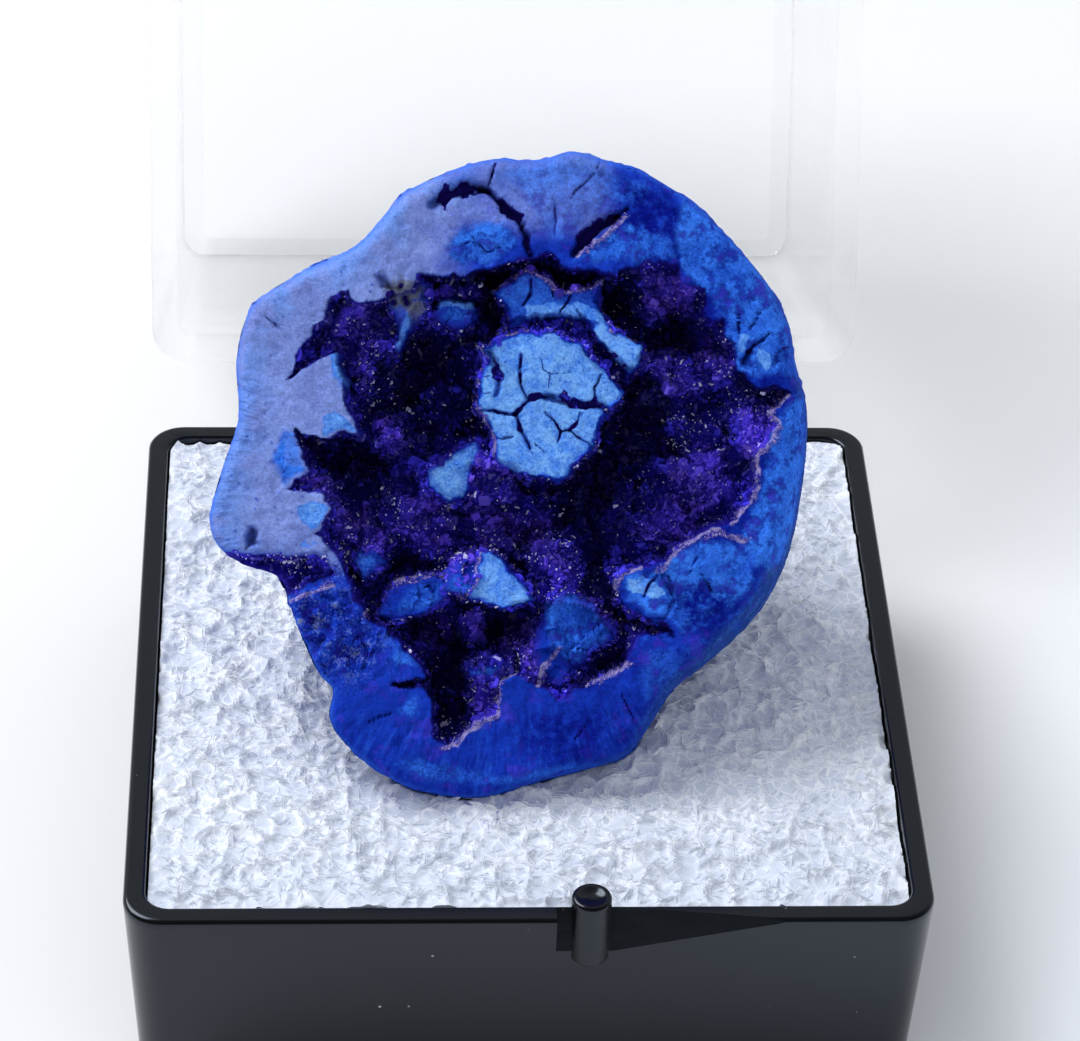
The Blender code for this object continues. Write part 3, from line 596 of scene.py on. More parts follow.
class NodeSheet:
    """The node tree of one material or world, with one call for any node."""

    def __init__(self, name: str, world: bool = False) -> None:
        """Start an empty material, or an empty world.

        Args:
            name: Its name.
            world: Whether it is a world.
        """
        self.owner = (bpy.data.worlds if world else bpy.data.materials).new(name)
        self.owner.use_nodes = True
        self.tree = self.owner.node_tree
        self.tree.nodes.clear()

    def node(self, kind: str, settings: dict[str, Any], inputs: dict[int | str, Any]) -> PlacedNode:
        """Add a node.

        Args:
            kind: Blender's name of the node's type.
            settings: The node's own settings, set first.
            inputs: A number, colour or Value for each input, by name or number.

        Returns:
            The placed node.
        """
        made = self.tree.nodes.new(kind)
        for key, value in settings.items():
            setattr(made, key, value)
        for key, value in inputs.items():
            socket = made.inputs[key]
            if isinstance(value, Value):
                self.tree.links.new(value.socket, socket)
            else:
                socket.default_value = (*value, 1.0) if socket.type == "RGBA" and len(value) == 3 else value
        return PlacedNode(self, made)

    def attribute(self, name: str) -> Value:
        """A number stored on the mesh's points."""
        return self.node("ShaderNodeAttribute", {"attribute_name": name}, {}).out("Fac")

    def place(self, stretch: tuple[float, float, float] = (1.0, 1.0, 1.0)) -> Value:
        """The piece's own coordinates in millimetres, stretched along each axis."""
        coordinates = self.node("ShaderNodeTexCoord", {}, {}).out("Object")
        scale = tuple(1000.0 * share for share in stretch)
        return self.node("ShaderNodeVectorMath", {"operation": "MULTIPLY"}, {0: coordinates, 1: scale}).out(0)

    def noise(self, place: Value, per_mm: float, detail: float = 4.0, roughness: float = 0.55) -> Value:
        """Noise between about 0.2 and 0.8, with so many features a millimetre."""
        inputs = {"Vector": place, "Scale": per_mm, "Detail": detail, "Roughness": roughness}
        return self.node("ShaderNodeTexNoise", {}, inputs).out("Fac")

    def cells(self, place: Value, per_mm: float, feature: str = "F1") -> Value:
        """Distance within scattered cells, with so many cells a millimetre."""
        inputs = {"Vector": place, "Scale": per_mm}
        return self.node("ShaderNodeTexVoronoi", {"feature": feature}, inputs).out("Distance")

    def spread(self, value: Value, low: float, high: float, first: Value | float, last: Value | float,
               kind: str = "LINEAR") -> Value:
        """Number that goes from the first to the last as a value goes from low to high."""
        inputs = {"Value": value, "From Min": low, "From Max": high, "To Min": first, "To Max": last}
        return self.node("ShaderNodeMapRange", {"interpolation_type": kind}, inputs).out("Result")

    def mix(self, first: Value | Colour, second: Value | Colour, share: Value | float) -> Value:
        """Colour that goes from the first to the second as share goes from 0 to 1."""
        made = self.node("ShaderNodeMix", {"data_type": "RGBA"}, {0: share, 6: first, 7: second})
        return made.out(2)

    def tinted(self, colour: Value, factor: Value) -> Value:
        """Colour multiplied by a number."""
        return self.node("ShaderNodeVectorMath", {"operation": "SCALE"}, {0: colour, "Scale": factor}).out(0)

    def bump(self, height: Value, distance_mm: float, strength: float = 1.0,
             under: Value | None = None) -> Value:
        """Normal tilted by a height from 0 to 1 that is worth so many millimetres."""
        inputs: dict[int | str, Any] = {"Height": height, "Distance": distance_mm * MM, "Strength": strength}
        if under is not None:
            inputs["Normal"] = under
        return self.node("ShaderNodeBump", {}, inputs).out("Normal")

    def finish(self, colour: Value | Colour, roughness: Value | float, specular: float = 0.5,
               **inputs: Any) -> Material:
        """Join a Principled shader to the material's output.

        Args:
            colour: Base colour.
            roughness: Roughness.
            specular: Level of the gloss.
            inputs: Its other inputs, with _ for the spaces in their names.

        Returns:
            The material.
        """
        named = {name.replace("_", " "): value for name, value in inputs.items()}
        shader = self.node("ShaderNodeBsdfPrincipled", {}, {
            "Base Color": colour, "Roughness": roughness, "Specular IOR Level": specular, **named})
        self.node("ShaderNodeOutputMaterial", {}, {"Surface": shader.out("BSDF")})
        return self.owner


# ---------------------------------------------------------------- finishes

@dataclass(frozen=True)
class AzuriteFinish:
    """Matt blue azurite. Its zones come from the mesh's points, mostly as distances in
    millimetres from a drawn edge, so that an edge stays crisp between points. Some zones are
    painted light and shade: near-black shade in the hollow, shade at the lower right, a lavender
    sheen and a lighter tone towards the left and top, and a brighter band along the outer edge."""

    deep: Colour = (0.002, 0.007, 0.24)
    middle: Colour = (0.008, 0.042, 0.50)
    bright: Colour = (0.025, 0.14, 0.78)
    azure: Colour = (0.012, 0.075, 0.55)
    azure_light: Colour = (0.045, 0.23, 1.0)
    # Painted sheen: pale lavender where the light from the upper left grazes the wall, partly the wall's own
    # powdery tone.
    powder_and_painted_sheen: Colour = (0.15, 0.21, 0.60)
    haze_light: Colour = (0.26, 0.36, 0.84)
    haze_blue: Colour = (0.13, 0.30, 0.86)
    pale: Colour = (0.045, 0.21, 0.86)
    pale_light: Colour = (0.20, 0.47, 1.0)
    ground: Colour = (0.009, 0.006, 0.22)
    ground_light: Colour = (0.08, 0.05, 0.75)
    # Painted shade for the hollow's dark areas.
    black: Colour = (0.003, 0.0025, 0.055)
    skin: Colour = (0.012, 0.05, 0.28)
    skin_light: Colour = (0.05, 0.18, 0.56)
    vein: Colour = (0.42, 0.36, 0.66)
    crack: Colour = (0.020, 0.010, 0.21)
    grey: Colour = (0.15, 0.17, 0.22)
    roughness: float = 0.85
    specular: float = 0.03

    def build(self) -> Material:
        """Make the material.

        Returns:
            The material.
        """
        sheet = NodeSheet("azurite_blue")
        at = sheet.place()
        mottle = sheet.noise(at, 0.5, 6.0, 0.62)
        cloud = sheet.noise(at, 2.2, 6.0, 0.65)
        grain = sheet.noise(at, 9.0, 4.0, 0.7)
        ragged = (cloud - 0.5) * 0.22 + (grain - 0.5) * 0.14
        hollow = (sheet.attribute("lip") + ragged).step(-0.03, 0.06)
        plate = (sheet.attribute("plate") + ragged).step(-0.05, 0.05)
        powder_and_painted_sheen = sheet.attribute("powder_and_painted_sheen")
        patchy = cloud * 0.6 + grain * 0.4
        blotch, flecks = sheet.noise(at, 1.1, 5.0, 0.65), sheet.noise(at, 4.5, 5.0, 0.7)
        flecks_fine, specks = sheet.noise(at, 5.5, 3.0, 0.6), sheet.cells(at, 2.6).step(0.24, 0.12)
        fibre, streak = sheet.attribute("fibre"), self._fibres(sheet)
        azure, violet, ruin = (sheet.attribute(name) for name in ("azure", "violet", "ruin"))
        pale_drawn = sheet.attribute("pale")
        loose = (pale_drawn * 4.0).least(1.0) * (1.15 - pale_drawn)
        pale_share = (pale_drawn + (mottle * 0.5 + patchy * 0.5 - 0.5) * loose * 2.6).step(0.25, 0.75)
        plain, clear = 1.0 - pale_share, 1.0 - powder_and_painted_sheen
        outer = sheet.attribute("edge").step(2.0, 0.3) * mottle.step(0.40, 0.56)
        # Painted sheen colour for the left and top of the wall, bluer near the outer edge.
        painted_sheen_colour = sheet.mix(self.powder_and_painted_sheen, self.haze_light, (patchy * 0.5 + mottle * 0.5).step(0.30, 0.62))
        painted_sheen_colour = sheet.mix(painted_sheen_colour, self.haze_blue, (outer + patchy.step(0.54, 0.66) * 0.4).least(1.0) * 0.7)
        skin = sheet.mix(self.skin, self.skin_light, patchy.step(0.44, 0.70))
        pale = sheet.mix(self.pale, self.pale_light,
                         (patchy * 0.7 + mottle * 0.3).step(0.38, 0.60) * pale_drawn.step(0.5, 0.95))
        sky = sheet.mix(self.azure, self.azure_light, (patchy * 0.6 + mottle * 0.4).step(0.42, 0.58))
        # Painted highlight: a brighter band along the outer edge, away from the rolled-over skin.
        painted_edge_highlight = (sheet.attribute("edge") + ragged * 0.8).step(0.30, 0.02) * (1.0 - sheet.attribute("skin"))
        crumbs = (sheet.attribute("grey") * 0.5 + ruin * 0.28 + (flecks * 0.4 + cloud * 0.6)).step(0.76, 0.92)
        inward = (sheet.attribute("plate") + ragged).step(0.02, 0.40)
        edged = hollow * plate * (1.0 - inward) * (1.0 - sheet.attribute("flat") * 0.75)
        lit = patchy * 0.55 + violet * 0.25 + sheet.attribute("tone") * 0.25
        ground = sheet.mix(self.ground, self.ground_light, lit.step(0.30, 0.72))
        # The side attribute paints light: the wall turns lighter towards the left, where the lamp is.
        body = sheet.mix(self.deep, self.middle,
                         (mottle * 0.5 + cloud * 0.5 + sheet.attribute("side") * 0.22).step(0.36, 0.66))
        for colour, share in (
                (self.bright, (mottle * 0.45 + cloud * 0.35 + grain * 0.2).step(0.53, 0.72) * 0.8),
                (painted_sheen_colour, (powder_and_painted_sheen + (cloud - 0.5) * powder_and_painted_sheen * 0.6).step(0.1, 0.9)),
                (self.middle, specks * mottle.step(0.45, 0.60) * powder_and_painted_sheen * 0.6),
                (self.bright, fibre * streak.step(0.50, 0.78) * 0.45),
                (self.deep, fibre * streak.step(0.55, 0.30) * 0.6),
                (skin, sheet.attribute("skin")),
                (pale, pale_share),
                (self.azure, pale_share * flecks_fine.step(0.60, 0.70) * 0.7),
                (sky, (azure + (patchy - 0.5) * azure * 1.2).step(0.15, 0.75) * plain),
                (self.deep, azure * blotch.step(0.54, 0.38) * plain * 0.7),
                (self.middle, blotch.step(0.52, 0.64) * plain * clear * 0.5),
                (self.ground_light, blotch.step(0.46, 0.34) * plain * clear * 0.35),
                # Deep areas include painted shade on the lower right side below the bright lump.
                (self.deep, sheet.attribute("deep") * cloud.step(0.70, 0.42)),
                (self.middle, flecks.step(0.58, 0.70) * (1.0 - powder_and_painted_sheen * 0.6) * 0.8),
                (self.bright, painted_edge_highlight * patchy.step(0.38, 0.56) * 0.75),
                (self.ground, ruin * (blotch * 0.6 + flecks * 0.4).step(0.52, 0.42) * 0.9),
                (self.azure_light, ruin * (flecks * 0.5 + blotch * 0.5).step(0.53, 0.60) * 0.55),
                (self.powder_and_painted_sheen, ruin * (cloud * 0.5 + grain * 0.5).step(0.51, 0.59) * 0.8),
                (self.grey, crumbs * 0.9),
                (ground, edged * cloud.step(0.30, 0.55)),
                (ground, hollow * (1.0 - plate)),
                # Painted shade: near black over the hollow's dark areas.
                (self.black, (sheet.attribute("black") + ragged * 0.6).step(0.15, 0.75)
                 * (1.0 - plate) * hollow * 0.93),
                (self.vein, (sheet.attribute("vein") + ragged * 0.5).step(0.11, 0.04)
                 * cloud.step(0.36, 0.50) * 0.75),
                (self.crack, (sheet.attribute("crack") + ragged * 0.18).step(0.012, -0.03))):
            body = sheet.mix(body, colour, share)
        body = sheet.tinted(body, grain + 0.5)
        normal = sheet.bump(grain, 0.07, 1.0)
        normal = sheet.bump(cloud, 0.20, 0.7, normal)
        return sheet.finish(body, self.roughness, self.specular, Normal=normal)

    @staticmethod
    def _fibres(sheet: NodeSheet) -> Value:
        """Noise drawn out along lines from the middle of the face: its coordinates are the unit
        direction times a large number, and the distance from the middle times a small one."""
        across, up = sheet.attribute("face_u"), sheet.attribute("face_v")
        flat = sheet.node("ShaderNodeCombineXYZ", {}, {"X": across, "Y": up, "Z": 0.0}).out(0)
        unit = sheet.node("ShaderNodeVectorMath", {"operation": "NORMALIZE"}, {0: flat}).out(0)
        reach = sheet.node("ShaderNodeVectorMath", {"operation": "LENGTH"}, {0: flat}).out("Value")
        drawn = sheet.node("ShaderNodeVectorMath", {"operation": "SCALE"}, {0: unit, "Scale": 60.0}).out(0)
        tall = sheet.node("ShaderNodeCombineXYZ", {}, {"X": 0.0, "Y": 0.0, "Z": reach * 0.8}).out(0)
        both = sheet.node("ShaderNodeVectorMath", {"operation": "ADD"}, {0: drawn, 1: tall}).out(0)
        return sheet.noise(both, 1.0, 3.0, 0.6)


@dataclass(frozen=True)
class DruseFinish:
    """Small violet-blue crystals, a few of them pale: pale grains and painted glints. Crystals in the
    hollow's dark areas get painted shade.
    """

    dark: Colour = (0.010, 0.006, 0.22)
    blue: Colour = (0.060, 0.050, 0.90)
    violet: Colour = (0.20, 0.10, 1.0)
    # Painted shade for crystals in the hollow's dark areas.
    black: Colour = (0.006, 0.004, 0.11)
    # Pale grains and painted glints.
    pale: Colour = (0.66, 0.66, 1.0)
    roughness: float = 0.10
    specular: float = 0.5

    def build(self) -> Material:
        """Make the material.

        Returns:
            The material.
        """
        sheet = NodeSheet("azurite_crystals")
        tone = sheet.attribute("tone")
        body = sheet.mix(self.dark, self.blue, tone.step(0.2, 0.8))
        body = sheet.mix(body, self.violet, sheet.attribute("violet") * tone.step(0.05, 0.5))
        # Painted shade in the hollow's dark areas.
        body = sheet.mix(body, self.black, sheet.attribute("black") * tone.step(1.0, 0.55))
        # Pale grains and painted glints standing in for sparkle off the facets.
        body = sheet.mix(body, self.pale, sheet.attribute("pale_grain_and_painted_glint"))
        grain = sheet.noise(sheet.place(), 14.0, 2.0)
        body = sheet.tinted(body, grain + 0.5)
        return sheet.finish(body, self.roughness + 0.25 * (1.0 - tone), self.specular,
                            Normal=sheet.bump(grain, 0.01, 0.5))


@dataclass(frozen=True)
class VeinFinish:
    """Crumbly lilac-white crust on the lips of the plates and the hollow."""

    light: Colour = (0.46, 0.40, 0.70)
    blue: Colour = (0.09, 0.07, 0.42)

    def build(self) -> Material:
        """Make the material.

        Returns:
            The material.
        """
        sheet = NodeSheet("pale_crust")
        at = sheet.place()
        grain = sheet.noise(at, 9.0, 4.0, 0.65)
        body = sheet.mix(self.blue, self.light, grain.step(0.46, 0.66))
        return sheet.finish(body, 0.75, 0.2, Normal=sheet.bump(grain, 0.04))


@dataclass(frozen=True)
class FoamFinish:
    """White cut foam: cell floors darker and bluer as painted shade, with brighter, glossier films along the
    cell walls, partly painted glints, and painted shade towards the front.
    """

    name: str
    film: Colour = (0.77, 0.81, 0.88)
    # Painted shade: darker, bluer colour for the cell floors and the front of the foam.
    hollow: Colour = (0.55, 0.61, 0.73)
    dust: Colour = (0.05, 0.08, 0.45)
    alpha: float = 1.0
    gloss: float = 0.3

    def build(self) -> Material:
        """Make the material.

        Returns:
            The material.
        """
        sheet = NodeSheet(self.name)
        at = sheet.place()
        fine = sheet.noise(at, 3.5, 4.0, 0.6)
        wall = sheet.attribute("wall")
        soft = sheet.noise(at, 0.55, 3.0, 0.5)
        wide, close = ((sheet.cells(at, per_mm, "DISTANCE_TO_EDGE") + (fine - 0.5) * 0.08).step(0.07, 0.01)
                       for per_mm in (0.8, 1.7))
        threads = (wide * soft.step(0.40, 0.55)).most(close * 0.8)
        # Cell floors take the hollow colour as painted shade; walls and threads take the film colour, partly
        # the films' own white and partly painted glints.
        body = sheet.mix(self.hollow, self.film,
                         (wall * 0.3 + fine * 0.3 + soft * 0.5 + threads * 0.6).step(0.30, 1.0))
        # Painted shade towards the front of the box.
        front = sheet.node("ShaderNodeSeparateXYZ", {}, {0: at}).out("Y").step(-8.0, -15.0)
        body = sheet.mix(body, self.hollow, front * 0.55)
        body = sheet.mix(body, self.dust, sheet.attribute("dust"))
        return sheet.finish(body, self.gloss + 0.3 * (1.0 - wall), 0.35, Alpha=self.alpha,
                            Normal=sheet.bump(threads * 0.8 + fine * 0.2, 0.04, 0.4))


@dataclass(frozen=True)
class BlackPlasticFinish:
    """Glossy black moulded polystyrene with faint scuffs and a little white dust."""

    colour: Colour = (0.0035, 0.0038, 0.0045)
    dust: Colour = (0.45, 0.46, 0.48)
    sheen: Colour = (0.72, 0.82, 1.0)
    roughness: float = 0.14

    def build(self) -> Material:
        """Make the material.

        Returns:
            The material.
        """
        sheet = NodeSheet("black_moulded_plastic")
        at = sheet.place()
        waves = sheet.noise(at, 0.18, 2.0)
        fine = sheet.noise(at, 3.0, 5.0, 0.6)
        scuff = sheet.noise(sheet.place((0.25, 0.25, 2.2)), 2.2, 4.0, 0.7).step(0.60, 0.78)
        gate = sheet.noise(at, 0.9, 1.0).step(0.62, 0.66)
        dots = sheet.cells(at, 1.3).step(0.10, 0.05) * gate
        body = sheet.mix(self.colour, self.dust, dots * 0.8)
        rough = self.roughness + scuff * 0.10 + fine * 0.06 + dots * 0.5
        normal = sheet.bump(fine, 0.004, 0.6)
        normal = sheet.bump(waves, 0.12, 0.25, normal)
        return sheet.finish(body, rough, IOR=1.5, Specular_Tint=self.sheen, Normal=normal)


@dataclass(frozen=True)
class ClearPlasticFinish:
    """Clear polystyrene: plain transmission with a faint cool tint and fine scuffs."""

    colour: Colour = (0.985, 0.992, 1.0)
    roughness: float = 0.02
    alpha: float = 0.38

    def build(self) -> Material:
        """Make the material.

        Returns:
            The material.
        """
        sheet = NodeSheet("clear_moulded_plastic")
        at = sheet.place()
        waves = sheet.noise(at, 0.15, 2.0)
        scuff = sheet.noise(at, 1.6, 6.0, 0.7).step(0.62, 0.80)
        return sheet.finish(self.colour, self.roughness + scuff * 0.12, IOR=1.45, Alpha=self.alpha,
                            Transmission_Weight=1.0, Normal=sheet.bump(waves, 0.1, 0.3))


@dataclass(frozen=True)
class TableFinish:
    """White table that turns brighter and bluer towards the right and the front: painted light that lifts the
    box's shadow there.
    """

    light: Colour = (0.76, 0.77, 0.79)
    # Painted light: brighter, bluer colour where the box's shadow falls to the right and front.
    shade: Colour = (0.87, 0.91, 0.98)

    def build(self) -> Material:
        """Make the material.

        Returns:
            The material.
        """
        sheet = NodeSheet("white_table")
        at = sheet.place()
        parts = sheet.node("ShaderNodeSeparateXYZ", {}, {0: at})
        slope = (parts.out(0) - parts.out(1) * 0.55)
        body = sheet.mix(self.light, self.shade, slope.step(5.0, 42.0))
        return sheet.finish(body, 0.6, 0.2)


# ---------------------------------------------------------------- the stone's face

@dataclass(frozen=True)
class Block:
    """A plate or block in the hollow: height and slopes of its top, width of its side, outline."""

    name: str
    top: tuple[float, float, float]
    side: float
    outline: Array
    crusted: bool = False
    rocky: float = 0.5

    def level(self, points: Array) -> Array:
        """Height of the sloping top: height + slope times the distance from the outline's middle."""
        away = points - self.outline.mean(0)
        return self.top[0] + self.top[1] * away[:, 0] + self.top[2] * away[:, 1]


BLOCKS: tuple[Block, ...] = (
    Block("upper plate", (-0.6, 0.02, -0.1), 0.5, tenths(
        "-9,73 -1,78 4,82 11,80 17,73 29,74 35,77 34.5,65 39,58 51,53 50,47 46,39.5 39,48 32,54 28,62 19,65 "
        "9,62.5 -2,59 -3,67"), rocky=0.0),
    Block("gap floor", (-1.7, 0.0, 0.0), 0.4, tenths(
        "3,62 15,64 27,62 32,53 45,41 39,37 26,49 10,55 -6,55 -7,59"), rocky=0.0),
    Block("island", (-0.25, 0.01, 0.03), 0.45, tenths(
        "-12,51 -9,54.5 3,58 20,55 26,52 28,47.5 39,38.5 44,33.5 39,25.5 34.5,21 31.5,11 23,2.5 18,-3.5 "
        "9,-0.5 -6,3 -8.5,7 -9.5,19 -14.5,28 -15,37 -11,44 -15,50"), rocky=0.0),
    Block("pedestal", (-2.1, 0.1, 0.0), 0.6, tenths(
        "-36,2 -23,10 -15,13.5 -9,5 -2,3 -3,-10 -22,-11 -28,-11 -36,-5"), True),
    Block("small ledge", (-1.5, 0.0, 0.25), 0.4, tenths("-33,65 -30,71 -18,69 -15,63 -21,58.5 -29,60.5")),
    Block("back ledge", (-2.4, 0.0, 0.1), 0.4, tenths("-31,78 -12,78 -13,70 -32,72"), True),
    Block("grey lump", (-0.8, -0.1, 0.15), 0.5, tenths(
        "-50,53 -48,61 -51,69 -44,74 -39,78 -34,73 -35,66 -42,61 -47,52")),
    Block("left block", (-1.0, 0.05, -0.1), 0.5, tenths(
        "-53,-50 -49,-45 -36,-41.5 -28,-40.5 -26,-49 -36,-57 -48,-58 -56,-57")),
    Block("three-cornered block", (-0.9, 0.0, -0.15), 0.5, tenths(
        "-13,-31 -9,-30.5 3,-43 8.5,-50.5 0,-51.5 -6,-54.5 -19,-49 -28,-47 -29,-39 -24,-34"), True, 0.1),
    Block("crystal pillar", (-2.6, 0.0, -0.1), 0.5, tenths("-24,-57 -15,-56 -12,-66 -20,-70"), True),
    Block("middle rock", (-2.0, 0.0, 0.1), 0.7, tenths("3,-34 14,-27 23,-29 26,-38 24,-47 12,-48"), True),
    Block("lower block", (-1.2, -0.1, -0.12), 0.6, tenths(
        "12,-50 28,-49 40,-58 39,-66 29,-72 20,-86 12,-83 6,-70 8,-62"), rocky=0.8),
    Block("low ledge", (-0.9, 0.0, -0.05), 0.4, tenths("-20,-77 -12,-72 -2,-73 -2,-79 -8,-83 -18,-82"), True),
    Block("right lump", (-0.35, 0.0, -0.02), 0.4, tenths(
        "41,-46 43,-39 50,-36.5 58,-39 63,-49 60,-57 52,-56 44,-52")),
    Block("blue facet", (-1.3, -0.2, 0.1), 0.5, tenths("-66,-33 -56,-29 -53,-35 -61,-42")),
    Block("druse mound", (-3.4, 0.0, 0.1), 0.9, tenths("52,47 61,48 63,37 55,33"), True),
    Block("floor mound", (-3.6, 0.1, 0.1), 0.9, tenths("-56,20 -48,20 -47,11 -54,11"), True),
)

# Pits in the wall: depth, outline.
WALL_PITS = areas("""
-0.7: -56,81 -52,81.5 -46,78 -47,73.5 -54,73
-1.0: -108,-20 -103,-21 -101,-28 -108,-30
-0.6: 89,49 95,53 97,49 95,42 91,42
-0.4: 102,42 105,49 110,51 109,45
-0.35: -56,81 -53,80.5 -52,78 -55,77
-0.5: -49.5,77.5 -45,78 -44,74 -49,73""")

# Broken crystalline edge below the left lobe.
BREAK = tenths("""
-123,-28 -109,-30 -94,-30 -76,-31 -71,-39 -86,-48 -99,-54 -123,-45""")

# Cracks: half width and depth in millimetres, route.
CRACKS = areas("""
0.24 1.5: -33,108 -27,112 -19,115 -13,115
0.14 1.2: -14,115 -10,113.5 -6,109 -2,104.5 1,102.5 3,99 4.5,96 5,92 6.5,88
0.19 1.5: 24,88.5 27,93 31,97 36,101 41,104
0.07 0.6: 40,103.5 45,107
0.06 0.5: -11,114 -8,124
0.1 0.6: -13,26.5 -9,26 -4,24.5 0,24 3,27.5 5.5,30 10,31 16,31.5
0.18 0.9: 13,31.2 17,30.5 21,29 25,28.2 31,28.2 35,27.2 38,25
0.09 0.5: 2.2,48 1.5,43 2,36 4.5,30.5
0.11 0.6: 0,24 2,18 5,13 6,11
0.02 0.2: 6,11 7,8
0.15 0.7: -11,49 -8,45 -6.2,40 -6.6,35 -7.5,32
0.03 0.2: -14,33 -10,33
0.05 0.2: -9,14.5 -5,14 -1,15
0.03 0.2: -14,39 -10,39.5
0.055 0.3: 12,25 16,21 18,17.5 16.5,13
0.05 0.3: 18,17.5 22,18 25,22 26,25
0.05 0.3: 22,17.5 27,13.5 31,11
0.02 0.2: 10,46 11,41.5 14,40 14,34
0.015 0.15: 14,40 22,40.5
0.04 0.3: 34,40 32,35 31.5,31
0.02 0.2: 8,13 12,9
0.05 0.4: 22,72 19,67 17,64
0.05 0.3: 25,66 27,62
0.16 0.7: 28,61 30,57 34,51
0.26 0.8: 34,51 38,47 43,41
0.07 0.5: 6.5,78 6.5,72 3.5,68
0.03 0.3: 15,76 15,71
0.03 0.3: 89.5,65 89.3,61
0.06 0.3: 89.3,61 89.5,56
0.03 0.3: 98,66 96.5,62
0.06 0.3: 96.5,62 93.5,58
0.05 0.3: 102,57 99,54.5
0.11 0.5: 99,54.5 96,52 93,49 91,44
0.06 0.3: 104,46 106,50 111,52
0.03 0.2: 34,125 31,119 24,113 22,109
0.03 0.2: 16,109 16.5,102 16,95
0.04 0.3: -17.5,96 -15,92 -11,89 -6,91
0.035 0.3: -22,92 -18,93 -15,92
0.06 0.4: 57,-39.5 54,-43 51.5,-49
0.04 0.3: 61,-40 64,-48
0.035 0.3: 73,-33 70,-39
0.035 0.3: 74,-40 80,-48
0.1 0.6: 43,-53 50,-57 59,-60 63,-65
0.03 0.3: -58,-98 -49,-95
0.03 0.3: 42,-88 47,-97
0.025 0.2: 24,-106 30,-98
0.05 0.2: -99.5,63.5 -93,58""")

# Raised lilac-white crust along lips and edges.
VEINS = [route for _, route in areas("""
: -15,51 -12.5,45 -15,39.5 -17.5,33 -16,28 -12.5,23 -10,17 -9,12 -9.5,8.5
: -15,51 -11,56 -4,57.5
: 109.5,31.5 103.5,27 102.5,23.5 106,19 105,14.5 101,11 97.5,8.5 96,4 97,0 96,-7 93,-12 89,-16 87,-19.5
: 57,-37 61,-34 65,-30 70,-26.5 76,-25 82,-23 86,-25 93,-26
: 41,-45 42.5,-40.5 46,-37.5 50,-36
: -29.5,-109.5 -24,-107 -20,-102 -13,-98.5 -7,-97 -6.5,-90 -6,-84 -5,-81 0,-78
: -61,-57 -55,-52 -53,-47 -50,-44.5 -42,-43 -36,-41.5 -30,-40
: -12,-31 -14.5,-36 -16,-43 -19.5,-48 -24,-48.5
: 19,-69 14,-74 10,-83
: -73,-43 -80,-47 -87,-49.5 -90,-50.5
: 26,87.5 31,92 36,95 40,100 45,104
: 46,-75 40,-78.5 34,-82.5 29,-84.5
: -10.5,74 -4,76.5 1,81 4,82.5 11,79.5 17,73 24,73 30,74.5 36,77.5
: -6,57.5 2,59 5,58.5
: 39,58 43,59.5 46,56 49,55""")]

# Pale sky-blue areas: strength, outline.
PALE = [((1.0,), BLOCKS[2].outline), ((0.5,), BLOCKS[0].outline), *areas("""
0.95: 2,69 16,69 27,69 34,66 39,58 29,61 19,64 5,62
0.95: 34,63 39,58 52,54 50,47 46,38 39,46 30,58
1.0: -36,2 -23,10 -15,13.5 -16,6 -19,0 -21,-7 -25,-11 -30,-8 -36,-5
1.0: -12,-31 -9,-30.5 3,-43 9.5,-51 0,-51.5 -6,-54.5 -19,-49 -16,-43 -14,-36
0.9: 44,-47 45,-41 52,-38 58,-42 62,-48 52,-50
0.5: 62,-38 70,-30 75,-28 73,-35 66,-40
0.28: 75,-27 92,-28 96,-38 90,-50 82,-45 76,-36
0.2: 64,86 70,104 86,90 100,74 109,58 111,44 100,59 90,64 80,68 76,76
0.8: 87,57 95,56 92,48 88,48
0.8: 97,52 105,50 103,41 96,43
0.95: -33,71.5 -24,72 -16,70 -16,65.5 -24,66.5 -32,66
0.9: -51,51 -48,60 -42,67 -38,63 -44,56 -46,50
0.8: -75,49 -71,49 -65,34 -67,31 -72,38
0.9: -78,22 -72,26 -66,22 -61,16 -76,16
0.45: -94,16 -87,15 -83,3 -92,2
0.85: -89,-12 -82,-8 -74,-13 -76,-18 -81,-24 -86,-20
0.7: -88,-27 -76,-31 -83,-22
0.6: -19,-79 -2,-75 -6,-79 -17,-82
0.4: -47,-74 -36,-73 -34,-79 -45,-76
0.35: -24,84 -19,93 -6,92 1,88 -10,82
0.5: 14,-48 29,-49 28,-54 16,-53""")]

# Clear saturated blue areas: strength, outline.
AZURE = areas("""
0.95: 66,84 63,96 67,110 86,98 102,78 112,56 116,38 106,40 90,40 84,58 74,74
1.0: 108,28 102,14 98,0 93,-16 90,-26 96,-38 108,-36 114,-16 118,10 117,32
0.9: 43,-49 45,-39 56,-36 68,-28 86,-26 96,-32 94,-46 80,-58 66,-64 62,-59 52,-54
0.4: 98,-42 84,-56 66,-69 50,-67 48,-82 52,-94 66,-82 82,-64 102,-46
0.4: -8,123 16,128 56,118 54,104 46,106 30,99 19,88 10,96 2,110
0.7: 33,96 46,102 64,94 64,86 46,85 32,83 24,86
0.9: -29,92 -16,102 -2,101 3,92 -2,87 -24,83
0.9: -94,18 -87,16 -82,1 -92,-4 -98,6
0.8: -47,-51 -40,-44 -29,-42 -27,-49 -34,-55 -47,-57
0.6: -28,-37 -15,-42 -19,-50 -28,-48
1.0: 10,-50 28,-48 39,-56 36,-68 22,-76 12,-64
0.7: -74,49 -65,45 -65,31 -71,34
0.8: -66,-33 -56,-29 -53,-35 -61,-42
0.6: -52,-66 -40,-70 -36,-78 -50,-76
0.6: -46,-86 -38,-85 -40,-100 -48,-94
0.7: -29,69 -17,68 -16,62 -28,62
0.5: -50,-116 -36,-124 -4,-126 34,-118 32,-112 -6,-119 -46,-110""")
